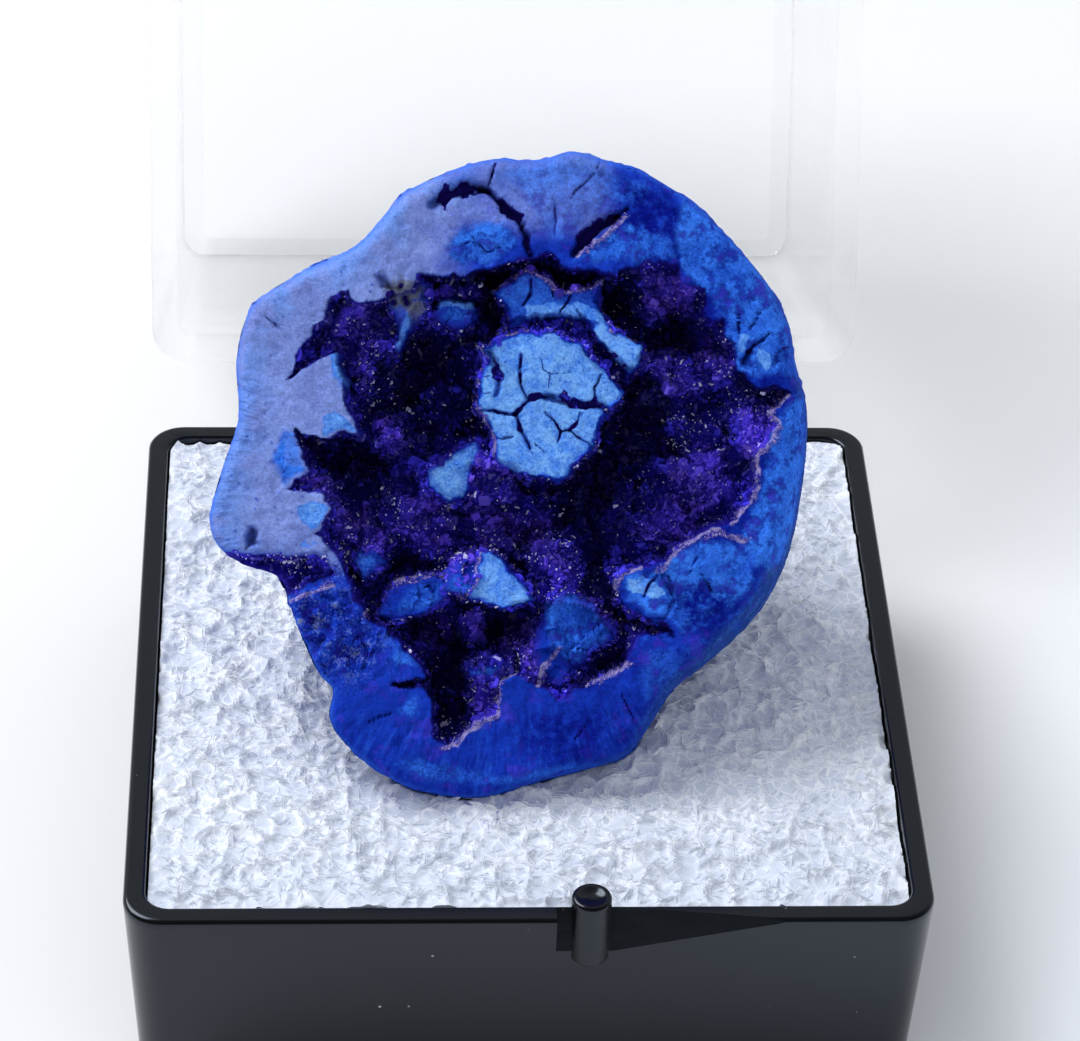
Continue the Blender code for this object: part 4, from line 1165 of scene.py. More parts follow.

# Painted shade: nearly black areas deep in the hollow and under its lips, where shade falls: strength,
# outline.
PAINTED_SHADE = areas("""
0.6: -58,52 -46,57 -30,60 -14,58 -15,49 -18,38 -13,27 -15,20 -22,17 -33,14 -44,13 -52,17 -57,23 -61,32
  -60,42
1.0: -39,79 -26,82 -13,83 -4,85 2,85 -4,80 -6,70 -4,60 -10,57 -14,66 -15,75 -26,76.5 -38,76.5
1.0: 7,85 18,83.5 30,79 40,80 50,85 50,80 39,74 30,76 18,79.5 8,82
0.75: 37,76 44,80 47,70 54,63 66,63 74,60 76,52 70,49 58,49 50,52 42,58 36,63
1.0: 50,41 58,40 64,34 63,22 58,10 52,2 44,-8 36,-18 28,-26 22,-22 20,-12 26,-4 34,2 39,14 43,26 47,36
1.0: -85,16 -78,17 -66,15 -61,10 -56,2 -54,-8 -60,-12 -68,-10 -74,-2 -80,5 -84,11
0.9: -55,-37 -48,-34 -38,-32 -28,-33 -24,-36 -30,-40 -40,-42 -50,-46 -56,-49
0.9: -48,-58 -41,-56 -33,-57 -27,-63 -18,-58 -6,-61 6,-56 4,-66 -6,-69 -10,-70 -18,-72 -20,-77 -20,-86
  -21,-96 -28,-100 -33,-98 -36,-90 -36,-77 -30,-72 -38,-69 -46,-66
1.0: -50,-84 -48,-80 -44,-78.5 -38,-80.5 -36,-83 -42,-83.5
0.9: 34,-50 39,-49 44,-55 52,-58 58,-62 54,-64 46,-62 39,-59
0.9: 19,-91 24,-86 30,-81 36,-76 44,-71 48,-70 45,-75 38,-79 30,-86 22,-91
0.9: 89,52 94,51 97,46 94,39 102,37 110,35 109,31.5 98,32 90,35 88,44
0.8: 77,35 87,34 86,27 78,26
0.8: -107,-20 -101,-21 -101,-30 -107,-30
1.0: -89,39 -82,47 -74,61 -69,74 -63,70 -71,58 -78,48 -84,41""")

# Lit violet crystal faces: strength, outline.
VIOLET = areas("""
1.0: 92,27 102,29 105,18 99,9 92,4 92,16
1.0: -18,9 -6,7 0,-2 -2,-10 -18,-11 -20,0
0.9: -56,24 -48,23 -45,14 -49,9 -54,12
0.8: -72,50 -62,51 -60,40 -63,32 -67,38
0.9: 26,-49 38,-54 40,-64 32,-66 28,-58
0.6: -72,69 -60,70 -49,64 -54,52 -64,52 -76,54
0.7: 75,61 84,58 88,46 86,40 76,42 74,52
0.95: 52,83 72,81 72,66 54,67
0.5: 54,50 66,46 76,36 64,32 54,38
0.4: 6,-34 14,-29 23,-31 25,-44 12,-47
0.5: -40,-59 -26,-59 -24,-70 -38,-71
0.6: -30,-32 -15,-31 -16,-40 -24,-45 -30,-42
0.6: -10,-14 16,-18 18,-30 -10,-32 -34,-16
0.6: 62,6 86,16 88,-6 76,-18 56,-14
0.7: 66,-10 78,-10 76,-22 56,-30 50,-22
0.7: -72,-12 -54,-10 -46,-24 -56,-32 -72,-26
0.7: -48,-7 -30,-10 -20,-22 -30,-31 -48,-26
0.7: -5,-59 9,-60 16,-72 10,-82 0,-76 -6,-68
0.8: -25,-56 -15,-56 -12,-66 -21,-69
0.5: -39,-58 -30,-59 -29,-68 -36,-70
0.5: -19,-82 -6,-83 -7,-96 -18,-98
0.8: -32,76 -16,75 -15,70 -32,71
0.9: -9,76 5,84 20,75 36,79 34,73 18,70 4,79
0.8: -87,2 -76,-2 -69,-12 -78,-9""")

# Clusters of pale grey crystals: u,v,radius.
CLUSTERS = tenths("""
3,-74,3.2 17,-30,4.5 -32,-32,4 -28,-39,3 71,46,3.5 64,40,2.2 70,22,6 66,12,4 -29,50,1.6 -43,38,1.4
-10,66,1.6 18,77,2.5 19,-17,1.8 4,79,3 30,74,2.5 -21,74,3.5 -59,54,4 -50,-16,3.5 -44,-22,3 34,-43,2
-14,-89,3.5 -21,-35,5 -32,-64,4 -90,-36,6 -27,-15,5 -36,-19,3 -66,60,3 -29,-102,3 -66,-64,3 -61,-74,3
-70,-80,3""")

# Deep blue areas on the wall: strength, outline. The second, at the lower right, is painted shade on the side
# below the bright lump.
DEEP = areas("""
1.0: 42,118 62,114 69,104 65,93 52,92 42,96
1.0: 63,-44 74,-42 89,-45 86,-58 70,-64 63,-57
0.8: 0,-95 35,-95 35,-115 0,-115""")


@dataclass
class FaceRelief:
    """Height and colour zones of the stone's face as functions of (u, v)."""

    warp: float = 0.24
    wall_width: float = 0.26
    skin_centre_deg: float = -25.0
    skin_spread_deg: float = 48.0
    skin_drop: float = 4.2
    skin_width: float = 0.9
    edge_drop: float = 0.9
    edge_width: float = 0.55
    break_depth: float = -1.3
    edge: Array = field(init=False)

    def __post_init__(self) -> None:
        """Work out the smooth edge once."""
        self.edge = smooth_loop(OUTLINE, 3)

    def bent(self, points: Array, from_edge: Array) -> Array:
        """Points (n, 2) moved about by fine noise, so that drawn edges come out ragged."""
        return (points + self.warp * NOISE.shift(points, 0.7, 4, 101, 101)
                * smooth_step(0.2, 1.2, from_edge)[:, None])

    def skin_share(self, points: Array) -> Array:
        """1 where the outer skin rolls over at the lower right, by a bell curve of the angle."""
        angle = np.degrees(angle_of(points))
        return np.exp(-((angle - self.skin_centre_deg) / self.skin_spread_deg) ** 2)

    def edge_fall(self, points: Array, from_edge: Array) -> Array:
        """Quarter-circle fall of the face close to its outer edge."""
        share = self.skin_share(points)
        reach = np.clip(from_edge / (self.edge_width + self.skin_width * share), 0.0, 1.0)
        return (self.edge_drop + self.skin_drop * share) * (1.0 - np.sqrt(1.0 - (1.0 - reach) ** 2))

    @staticmethod
    def swell(points: Array) -> Array:
        """Gentle rise and fall of the whole face: two products of sines."""
        u, v = points[:, 0], points[:, 1]
        return 0.25 * np.sin(0.35 * u + 0.8) * np.cos(0.3 * v - 0.4) + 0.12 * np.sin(0.9 * v + 0.5 * u)

    @staticmethod
    def floor_level(points: Array) -> Array:
        """Mean of the stated depths, weighted by 1 / (distance squared + 0.15) to the power 1.7."""
        out = np.empty(len(points))
        for low in range(0, len(points), CHUNK):
            part = points[low:low + CHUNK]
            gap = (part[:, :1] - FLOOR_DEPTHS[:, 0]) ** 2 + (part[:, 1:] - FLOOR_DEPTHS[:, 1]) ** 2
            weight = (gap + 0.15) ** -1.7
            out[low:low + CHUNK] = (weight * FLOOR_DEPTHS[:, 2]).sum(1) / weight.sum(1)
        return out

    @staticmethod
    def roughness(points: Array, hollow: Array, plates: Array) -> Array:
        """Relief finer than the drawn shapes: tilted facets and lumps in the hollow, grain elsewhere.

        Args:
            points: Points as (n, 2).
            hollow: Share of the hollow at each point.
            plates: Share of the smooth plates at each point.

        Returns:
            Heights in millimetres.
        """
        lumps = 0.35 * NOISE.layered(points, 1.6, 4, 7)
        for size, lift, salt in ((1.7, 0.9, 3), (0.7, 0.36, 5)):
            _, _, facts = NOISE.cells(points, size, salt)
            lumps += lift * facets(facts)
        pits = np.minimum(NOISE.layered(points, 0.5, 3, 15) + 0.25, 0.0)
        skin = 0.16 * NOISE.layered(points, 2.4, 5, 9) + 0.05 * NOISE.layered(points, 0.4, 2, 13) + 0.2 * pits
        top = 0.09 * NOISE.layered(points, 1.4, 4, 21) + 0.1 * pits
        return hollow * (1.0 - plates) * lumps + (1.0 - hollow) * skin + plates * top * hollow

    def height(self, points: Array) -> tuple[Array, dict[str, Array]]:
        """Height w of the stone's front, and what its colour zones are made from.

        Args:
            points: Points as (n, 2).

        Returns:
            Heights as (n,), and distances or shares by name.
        """
        from_edge = depth_inside(points, self.edge)
        fall = self.edge_fall(points, from_edge)
        bent = self.bent(points, from_edge)
        height = self.swell(points) - fall
        for (depth,), outline in WALL_PITS:
            height = height + depth * smooth_step(0.0, 0.3, depth_inside(bent, outline))
        broken = smooth_step(-0.1, 0.5, depth_inside(bent, BREAK))
        height = height + broken * (self.break_depth + 0.5 * NOISE.layered(points, 1.0, 3, 31))
        lip = depth_inside(bent, HOLLOW)
        hollow = smooth_step(0.0, self.wall_width, lip)
        height = height + (self.floor_level(bent) - height) * hollow
        plate, rocky = np.full(len(points), -FAR), np.ones(len(points))
        for block in BLOCKS:
            inside = depth_inside(bent, block.outline)
            share = smooth_step(-0.5 * block.side, 0.02, inside)
            height = height + (block.level(points) - height) * share
            rocky = rocky + (block.rocky - rocky) * share
            plate = np.minimum(plate, -inside) if block.crusted or block.name == "gap floor" else np.maximum(
                plate, inside)
        for (strength,), outline in PALE:
            if strength >= 0.6:
                plate = np.maximum(plate, depth_inside(bent, outline))
        gap = np.full(len(points), FAR)
        crevice = gap.copy()
        calm = points + 0.35 * (bent - points)
        uneven = np.maximum(1.0 + 1.6 * NOISE.layered(points, 0.4, 3, 51), 0.2)
        for (half_width, depth), route in CRACKS:
            away = route_distance(calm, route, False)
            tips = np.minimum(*(np.hypot(*(calm - route[end]).T) for end in (0, -1)))
            half = half_width * uneven * (0.3 + 0.7 * smooth_step(0.0, 0.7, tips))
            height = height - 0.7 * depth * smooth_step(half_width, 0.0, away - 0.4 * half)
            gap = np.minimum(gap, away - half)
            if half_width > 0.13:
                crevice = np.minimum(crevice, away - half)
        near, _, _ = NOISE.cells(points, 0.5, 63)
        lump = bell(points, (-4.5, 7.1, 0.8, 0.7))
        height = height - 0.35 * lump * smooth_step(0.45, 0.2, near)
        gap = np.minimum(gap, 0.5 * (near - 0.26) + 1.5 * np.maximum(0.5 - lump, 0.0))
        height = height + self.roughness(points, hollow, smooth_step(-0.06, 0.12, plate) * (1.0 - rocky))
        from_lobe = np.hypot((points[:, 0] + 7.4) * 0.9, points[:, 1] + 6.3)
        loose = smooth_step(2.4, 1.2, from_lobe) * (1.0 - hollow)
        loose = np.maximum(loose, broken)
        _, _, facts = NOISE.cells(bent, 0.55, 65)
        height = height + loose * (0.35 * NOISE.layered(points, 0.55, 4, 61) + 0.3 * facets(facts))
        _, _, facts = NOISE.cells(bent, 0.8, 205)
        tone = 0.65 * facts[:, 2] + 0.35 * smooth_step(-0.5, 0.5, NOISE.layered(bent, 0.8, 3, 207))
        violet = self._painted(bent, VIOLET, -0.3, 0.4)
        # Painted shade: the drawn dark areas, less where violet faces are lit, and darker the deeper the
        # hollow's floor lies.
        black = self._painted(bent, PAINTED_SHADE, -0.25, 0.35) * (1.0 - 0.8 * violet)
        black = np.maximum(black, 0.85 * smooth_step(-4.6, -6.4, height) * hollow)
        return height, {"lip": lip, "tone": tone, "plate": plate, "crack": gap, "crevice": crevice,
                        "broken": broken, "edge": from_edge, "fall": fall / (self.edge_drop + self.skin_drop),
                        "black": black, "flat": 1.0 - rocky, "violet": violet, "bent": bent}

    def zones(self, points: Array, found: dict[str, Array]) -> dict[str, Array]:
        """Numbers for the stone's material.

        Args:
            points: Points as (n, 2).
            found: What height() gave for them.

        Returns:
            Values by attribute name.
        """
        (u, v), bent, broken = points.T, found["bent"], found["broken"]
        outside = smooth_step(0.15, -0.1, found["lip"])
        on_plate = smooth_step(-0.06, 0.12, found["plate"])
        # Painted sheen: pale lavender over the left of the wall and along its top, where the light from the
        # upper left grazes it.
        powder_and_painted_sheen = (smooth_step(0.6, -5.0, u + 1.3 * NOISE.layered(points, 1.8, 3, 41))
                * smooth_step(-5.0, -2.2, v))
        powder_and_painted_sheen = np.maximum(powder_and_painted_sheen, 0.55 * smooth_step(8.6, 10.5, v) * smooth_step(5.0, 3.0, u))
        powder_and_painted_sheen = powder_and_painted_sheen * np.maximum(outside, 0.3 * on_plate) * (1.0 - broken)
        vein = np.full(len(points), FAR)
        for route in VEINS:
            vein = np.minimum(vein, route_distance(bent, route, False))
        grey, ruin = (np.max([bell(points, spot) for spot in spots], 0) for spots in (
            ((-4.5, 7.3, 1.1, 0.9), (-3.9, 6.6, 0.6, 0.7), (0.4, -7.5, 0.4, 0.4)),
            ((-7.9, -5.6, 1.7, 1.2), (-6.6, -6.9, 1.3, 1.2), (-6.9, -3.6, 0.8, 0.8))))
        fibre = smooth_step(-8.2, -10.5, v) * outside
        edge_band = smooth_step(1.4, 0.3, found["edge"]) * (v < 4.0) * 0.8
        kept = {name: found[name] for name in ("plate", "crack", "black", "violet", "edge", "flat", "tone")}
        return {**kept, "lip": np.maximum(found["lip"], 0.6 * broken - 0.25), "powder_and_painted_sheen": powder_and_painted_sheen, "vein": vein,
                "pale": self._painted(bent, PALE, -0.06, 0.22),
                "azure": self._painted(bent, AZURE, -0.3, 0.5),
                "deep": self._painted(bent, DEEP, -0.2, 0.6), "grey": grey, "ruin": ruin,
                "skin": smooth_step(0.02, 0.16, found["fall"]) * self.skin_share(points),
                # side paints light: 1 at the left of the face, where the lamp is, so the wall is lighter
                # there.
                "fibre": np.maximum(fibre, edge_band), "side": smooth_step(9.0, -9.0, u),
                "face_u": u, "face_v": v}

    @staticmethod
    def _painted(points: Array, drawn: Areas, low: float, high: float) -> Array:
        """Largest strength of the areas that hold each point, with soft edges."""
        total = np.zeros(len(points))
        for (strength,), outline in drawn:
            total = np.maximum(total, strength * smooth_step(low, high, depth_inside(points, outline)))
        return total


# Small shapes that are repeated: points with z up, and triangles.
DOUBLE_POINT = np.array([(1, 0, 0), (0, 1, 0), (-1, 0, 0), (0, -1, 0), (0, 0, 1), (0, 0, -1)], float)
DOUBLE_POINT_FACES = np.array([
    (0, 1, 4), (1, 2, 4), (2, 3, 4), (3, 0, 4), (1, 0, 5), (2, 1, 5), (3, 2, 5), (0, 3, 5)])
BLADE = np.array([
    (-1, -1, -1), (1, -1, -1), (1, 1, -1), (-1, 1, -1),
    (-1, -1, 0.6), (1, -1, 0.6), (1, 1, 0.6), (-1, 1, 0.6), (-0.6, 0, 1), (0.6, 0, 1)], float)
BLADE_FACES = np.array([
    (0, 2, 1), (0, 3, 2), (0, 1, 5), (0, 5, 4), (1, 2, 6), (1, 6, 5), (2, 3, 7), (2, 7, 6),
    (3, 0, 4), (3, 4, 7), (4, 5, 9), (4, 9, 8), (5, 6, 9), (6, 7, 8), (6, 8, 9), (7, 4, 8)])


class FaceFrame:
    """Turns face millimetres (u, v, w) into world millimetres."""

    def __init__(self) -> None:
        """Read the face's centre and turn."""
        turn = Euler([math.radians(angle) for angle in FACE_TURN_DEG]).to_matrix()
        self.turn = np.array(turn)
        self.centre = np.array(FACE_CENTRE)

    def world(self, points: Array) -> Array:
        """World place of face points, both as (n, 3)."""
        return points @ self.turn.T + self.centre


def disc_grid(count: int) -> tuple[Array, Array]:
    """Square grid bent onto a disc: a point (a, b) of the square goes to the radius max(|a|, |b|), and
    its angle follows b / a within its quarter.

    Args:
        count: Points along a side.

    Returns:
        Points of the unit disc as (count * count, 2), and the numbers of the border's points in
        order, anticlockwise from the corner of lowest a and b.
    """
    line = np.linspace(-1.0, 1.0, count)
    b, a = np.meshgrid(line, line, indexing="ij")
    wide = np.abs(a) >= np.abs(b)
    safe_a, safe_b = np.where(a == 0, 1e-9, a), np.where(b == 0, 1e-9, b)
    radius = np.where(wide, a, b)
    angle = np.where(wide, 0.25 * math.pi * b / safe_a, 0.5 * math.pi - 0.25 * math.pi * a / safe_b)
    points = np.stack([radius * np.cos(angle), radius * np.sin(angle)], -1).reshape(-1, 2)
    return points, grid_border(count, count)


def reach_of(outline: Array, centre: tuple[float, float], angles: Array) -> Array:
    """Distance from a centre to a star-shaped outline at each angle, read between its points.

    Args:
        outline: Outline as (m, 2).
        centre: The middle.
        angles: Angles in radians.

    Returns:
        Distances in millimetres.
    """
    offset = outline - np.array(centre)
    own = angle_of(offset)
    order = np.argsort(own)
    return np.interp(angles, own[order], np.linalg.norm(offset, axis=1)[order], period=2 * math.pi)


@dataclass
class FrontGrid:
    """The stone's front as a disc grid, with its values read between points."""

    count: int
    relief: FaceRelief
    outline: Array = field(init=False)
    flat: Array = field(init=False)
    border: Array = field(init=False)
    height: Array = field(init=False)
    found: dict[str, Array] = field(init=False)

    def __post_init__(self) -> None:
        """Scale the disc to the ragged outline and work out the relief."""
        self.outline = smooth_loop(OUTLINE, 16)
        disc, self.border = disc_grid(self.count)
        angle = angle_of(disc)
        around = heading(angle) * 12.0
        near = smooth_step(0.88, 1.0, np.linalg.norm(disc, axis=1))
        ragged = (0.11 * NOISE.layered(around, 1.1, 5, 61) + 0.04 * NOISE.layered(around, 0.22, 2, 63)) * near
        self.flat = disc * (reach_of(self.outline, (0.0, 0.0), angle) + ragged)[:, None]
        self.height, self.found = self.relief.height(self.flat)

    def read(self, points: Array, names: Sequence[str]) -> list[Array]:
        """Values at any points of the front, from the four grid points round each.

        Args:
            points: Points as (n, 2).
            names: Which values: "height", or a name that the relief gives.

        Returns:
            One array for each name.
        """
        u, v = points[:, 0], points[:, 1]
        radius = np.hypot(u, v) / reach_of(self.outline, (0.0, 0.0), np.arctan2(v, u))
        wide = np.abs(u) >= np.abs(v)
        u, v = np.where(u == 0, 1e-9, u), np.where(v == 0, 1e-9, v)
        first = np.where(wide, np.sign(u) * radius, np.sign(v) * radius)
        second = first * np.arctan(np.where(wide, v / u, u / v)) * 4.0 / math.pi
        place = np.stack([np.where(wide, second, first), np.where(wide, first, second)], 1)
        place = np.clip((place + 1.0) * 0.5 * (self.count - 1), 0.0, self.count - 1.001)
        shape = (self.count, self.count)
        return [read_grid((self.height if name == "height" else self.found[name]).reshape(shape), place)
                for name in names]


@dataclass
class Nodule:
    """The azurite stone: relief in front, rounded botryoidal back, plates, crystals and crust."""

    count: int = 290
    back_count: int = 190
    plate_lift: float = 0.06
    plate_sink: float = 0.22
    crystals: int = 16500
    prisms: int = 4000
    grains_per_mm: float = 80.0
    relief: FaceRelief = field(default_factory=FaceRelief)
    frame: FaceFrame = field(default_factory=FaceFrame)
    front: FrontGrid = field(init=False)

    def __post_init__(self) -> None:
        """Work out the front once."""
        self.front = FrontGrid(self.count, self.relief)

    def build(self) -> Array:
        """Make every piece of the stone.

        Returns:
            World points of the stone's back, in millimetres.
        """
        finish = AzuriteFinish().build()
        self._build_front(finish)
        back = self._build_back(finish)
        self._build_plates(finish)
        self._build_crystals(DruseFinish().build())
        self._build_veins(VeinFinish().build())
        return back

    @staticmethod
    def _dome(rim: Array, rim_height: Array, share: Array) -> Array:
        """Back of the stone: the rim times a share, sunk by depth * (1 - share ** 2.5) ** 0.55.

        Args:
            rim: Outline in each point's direction, as (n, 2).
            rim_height: Height of the outline there.
            share: Place between the pole, 0, and the rim, 1.

        Returns:
            Points as (n, 3).
        """
        lumps = 1.0 + 0.05 * np.sin(3.1 * angle_of(rim) + 4.0 * share)
        sunk = rim_height * share ** 2 - DOME_DEPTH * np.clip(1.0 - share ** 2.5, 0.0, 1.0) ** 0.55 * lumps
        return np.column_stack([rim * share[:, None], sunk])

    def _lining(self, rim: Array, rim_height: Array, lift: float) -> list[Array]:
        """Rows, lifted inside the dome, from its rim to its pole: they close a shell out of sight."""
        rows = [self._dome(rim, rim_height, np.full(len(rim), share)) * (0.97, 0.97, 1.0) + (0.0, 0.0, lift)
                for share in (0.97, 0.9, 0.78, 0.6, 0.35)]
        return rows + [np.array([[0.0, 0.0, lift - DOME_DEPTH]])]

    def _build_front(self, finish: Material) -> None:
        """Front grid with a narrow skirt round the side, closed behind by a lining inside the dome.

        Args:
            finish: Material of the stone.
        """
        grid = self.front
        zones = self.relief.zones(grid.flat, grid.found)
        height = grid.height - self.plate_sink * self._plate_cover(grid.found)
        rim, rim_height = grid.flat[grid.border], grid.height[grid.border]
        rows = [np.column_stack([grid.flat, height])]
        rows += [self._dome(rim, rim_height, np.full(len(rim), share)) for share in (0.997, 0.99)]
        rows += self._lining(rim, rim_height, 0.3)
        faces = [grid_faces(self.count, self.count),
                 *closing_faces(grid.border, len(grid.flat), len(rows) - 2)]
        points = np.concatenate(rows)
        thing = new_object("azurite_front", self.frame.world(points), faces, 60.0)
        hidden = points[len(grid.flat):]
        give_attributes(thing, self._joined(zones, self._plain_zones(hidden)))
        register(thing, Body.BASE, finish, ["azurite_nodule"])

    @staticmethod
    def _joined(*parts: dict[str, Array]) -> dict[str, Array]:
        """Attribute values of several meshes, one after another."""
        return {name: np.concatenate([part[name] for part in parts]) for name in parts[0]}

    @staticmethod
    def _plain_zones(points: Array) -> dict[str, Array]:
        """Attribute values for the sides and back: powdery skin with pale patches."""
        count = len(points)
        none, far = np.zeros(count), np.full(count, FAR)
        powder = smooth_step(0.0, 0.5, NOISE.layered(points, 3.0, 4, 71))
        return {"lip": -far, "plate": -far, "powder_and_painted_sheen": powder * 0.7, "crack": far, "vein": far, "pale": none,
                "deep": none, "skin": 0.9 - 0.5 * powder, "grey": none, "fibre": none, "side": none + 0.5,
                "black": none, "violet": none, "edge": far, "flat": none, "tone": none,
                "azure": none, "ruin": none, "face_u": points[:, 0], "face_v": points[:, 1]}

    def _build_back(self, finish: Material) -> Array:
        """Domed back on a disc grid, with round knobs pushed out of it, closed by a lining inside it.

        Args:
            finish: Material of the stone.

        Returns:
            World points of the back.
        """
        disc, border = disc_grid(self.back_count)
        share = np.sin(0.5 * math.pi * np.linalg.norm(disc, axis=1))
        angle = angle_of(disc)
        rim = heading(angle) * reach_of(self.front.outline, (0.0, 0.0), angle)[:, None]
        rim_height = np.interp(angle, *self._rim_profile(), period=2 * math.pi)
        points = self._dome(rim * 0.997, rim_height, share)
        away = unit(points - np.array([0.0, 0.0, -3.0]))
        near, _, _ = NOISE.cells(points, 1.9, 81)
        small, _, _ = NOISE.cells(points, 0.7, 83)
        knobs = (0.40 * (0.45 - near ** 2) + 0.12 * (0.4 - small ** 2)
                 + 0.15 * NOISE.layered(points, 3.0, 4, 85))
        points += away * (knobs * smooth_step(1.0, 0.86, share))[:, None]
        rows = [points, *self._lining(rim[border] * 0.99, rim_height[border], 0.5)]
        faces = [grid_faces(self.back_count, self.back_count)[:, ::-1],
                 *closing_faces(border, len(points), len(rows) - 2, flip=True)]
        points = np.concatenate(rows)
        world = self.frame.world(points)
        thing = new_object("azurite_back", world, faces, 60.0)
        give_attributes(thing, self._plain_zones(points))
        register(thing, Body.BASE, finish, ["azurite_nodule"])
        return world

    def _rim_profile(self) -> tuple[Array, Array]:
        """Angle and height of the front's border, in order of angle."""
        rim = self.front.flat[self.front.border]
        angle = angle_of(rim)
        order = np.argsort(angle)
        return angle[order], self.front.height[self.front.border][order]

    # Plates made as slabs of their own: block number and points along a side of the grid.
    SLABS = ((2, 118), (4, 34), (7, 44), (8, 56), (13, 50), (14, 24))

    def _plate_cover(self, found: dict[str, Array]) -> Array:
        """Share of each point that lies under a slab."""
        bent = found["bent"]
        cover = np.zeros(len(bent))
        for number in [number for number, _ in self.SLABS] + [0]:
            cover = np.maximum(cover, smooth_step(-0.25, 0.0, depth_inside(bent, BLOCKS[number].outline)))
        return cover

    def _build_plates(self, finish: Material) -> None:
        """Pale plates as slabs with crisp ragged edges and narrow cracks: a top grid, a copy of it
        drawn in and sunk, and a side between the two borders.

        Args:
            finish: Material of the stone.
        """
        blocks: list[Array] = []
        faces: list[Array] = []
        values: list[dict[str, Array]] = []
        total = 0
        grids = [self._disc_plate(BLOCKS[number], count) for number, count in self.SLABS]
        grids.append(self._band_plate())
        for flat, rows, columns, border in grids:
            height, found = self.relief.height(flat)
            zones = self.relief.zones(flat, found)
            inside = route_distance(flat, flat[border], True)
            top = (np.maximum(height, np.median(height[border]) - 0.5) + self.plate_lift
                   - 0.10 * smooth_step(0.14, 0.0, inside))
            count = len(flat)
            centre = flat.mean(0)
            lower = centre + (flat - centre) * 0.93
            blocks += [np.column_stack([flat, top]),
                       np.column_stack([lower, np.full(count, top.min() - 0.8)])]
            number = grid_faces(rows, columns, start=total)
            faces += [number, number[:, ::-1] + count]
            loop = border + total
            faces.append(np.stack([loop, loop + count, np.roll(loop, -1) + count, np.roll(loop, -1)], 1))
            far = np.full(count, FAR)
            zones["plate"] = np.maximum(zones["plate"], smooth_step(0.0, 0.3, inside) * 0.3)
            values += [zones, {**zones, "plate": -far, "lip": far, "crack": far}]
            total += 2 * count
        thing = new_object("azurite_plates", self.frame.world(np.concatenate(blocks)), faces, 50.0)
        give_attributes(thing, self._joined(*values))
        register(thing, Body.BASE, finish)

    @staticmethod
    def _disc_plate(block: Block, count: int) -> tuple[Array, int, int, Array]:
        """Grid over a rounded plate: a disc grid scaled to the outline about its middle.

        Args:
            block: The plate.
            count: Points along a side of the grid.

        Returns:
            Points as (n, 2), rows, columns, and the border's numbers.
        """
        disc, border = disc_grid(count)
        outline = block.outline
        centre = tuple(outline.mean(0))
        angle = angle_of(disc)
        after = np.roll(outline, -1, axis=0)
        share = np.linspace(0.0, 1.0, 60, endpoint=False)[None, :, None]
        dense = (outline[:, None] + (after - outline)[:, None] * share).reshape(-1, 2)
        reach = reach_of(dense, centre, angle)
        reach = reach + 0.09 * NOISE.layered(heading(angle) * reach[:, None] + np.array(centre), 0.5, 4, 91)
        return np.array(centre) + disc * reach[:, None], count, count, border

    @staticmethod
    def _band_plate() -> tuple[Array, int, int, Array]:
        """Grid over the curved plate round the island: straight lines between its two sides.

        Returns:
            Points as (n, 2), rows, columns, and the border's numbers.
        """
        outer = np.concatenate([[(-0.6, 6.9)], BLOCKS[0].outline[:11]])
        inner = BLOCKS[0].outline[:10:-1]
        columns, rows = 130, 34
        high, low = even_points(outer, columns), even_points(inner, columns)
        high = high + 0.07 * NOISE.shift(high, 0.45, 3, 93)
        low = low + 0.06 * NOISE.shift(low, 0.45, 3, 95)
        share = np.linspace(0.0, 1.0, rows)[:, None, None]
        flat = (low[None] + (high - low)[None] * share).reshape(-1, 2)
        return flat, rows, columns, grid_border(rows, columns)

    def _crystal_places(self, count: int, seed: int) -> tuple[Array, Array, Array, dict[str, Array]]:
        """Places for crystals on the crusted floor and sides, as many to an area of sloping surface
        as to a level one.

        Args:
            count: Number of crystals.
            seed: Seed of the random draws.

        Returns:
            Places as (count, 3) in face millimetres, normals, random numbers (count, 4), and the
            painted shade, violet share, share of pale grains and painted glints, and tone of each.
        """
        rng = np.random.default_rng(seed)
        tries = 14 * count
        flat = np.stack([rng.uniform(-12.2, 11.4, tries), rng.uniform(-11.0, 9.0, tries)], 1)
        lip, plate, broken, edge, crevice = self.front.read(
            flat, ("lip", "plate", "broken", "edge", "crevice"))
        weight = np.maximum(smooth_step(0.0, 0.15, lip) * smooth_step(0.05, -0.05, plate), broken)
        weight = np.maximum(weight, 0.7 * smooth_step(0.0, -0.08, crevice))
        weight *= smooth_step(0.15, 0.4, edge)
        step = 0.09
        height, = self.front.read(flat, ("height",))
        slope = np.stack([(self.front.read(flat + shift, ("height",))[0] - height) / step
                          for shift in ((step, 0.0), (0.0, step))], 1)
        slope = np.clip(slope, -3.5, 3.5)
        chance = weight * np.sqrt(1.0 + (slope ** 2).sum(1)) / 3.6
        chosen = np.flatnonzero(rng.random(len(flat)) < chance)[:count]
        flat, slope = flat[chosen], slope[chosen]
        normal = unit(np.column_stack([-slope, np.ones(len(chosen))]))
        draws = rng.random((len(chosen), 4))
        black, violet, tone = self.front.read(flat, ("black", "violet", "tone"))
        bright = np.max([bell(flat, spot) for spot in CLUSTERS], 0)
        bright = bright * smooth_step(-0.5, 0.3, NOISE.layered(flat, 0.3, 2, 97))
        patchy = smooth_step(-0.2, 0.6, NOISE.layered(flat, 1.3, 3, 99))
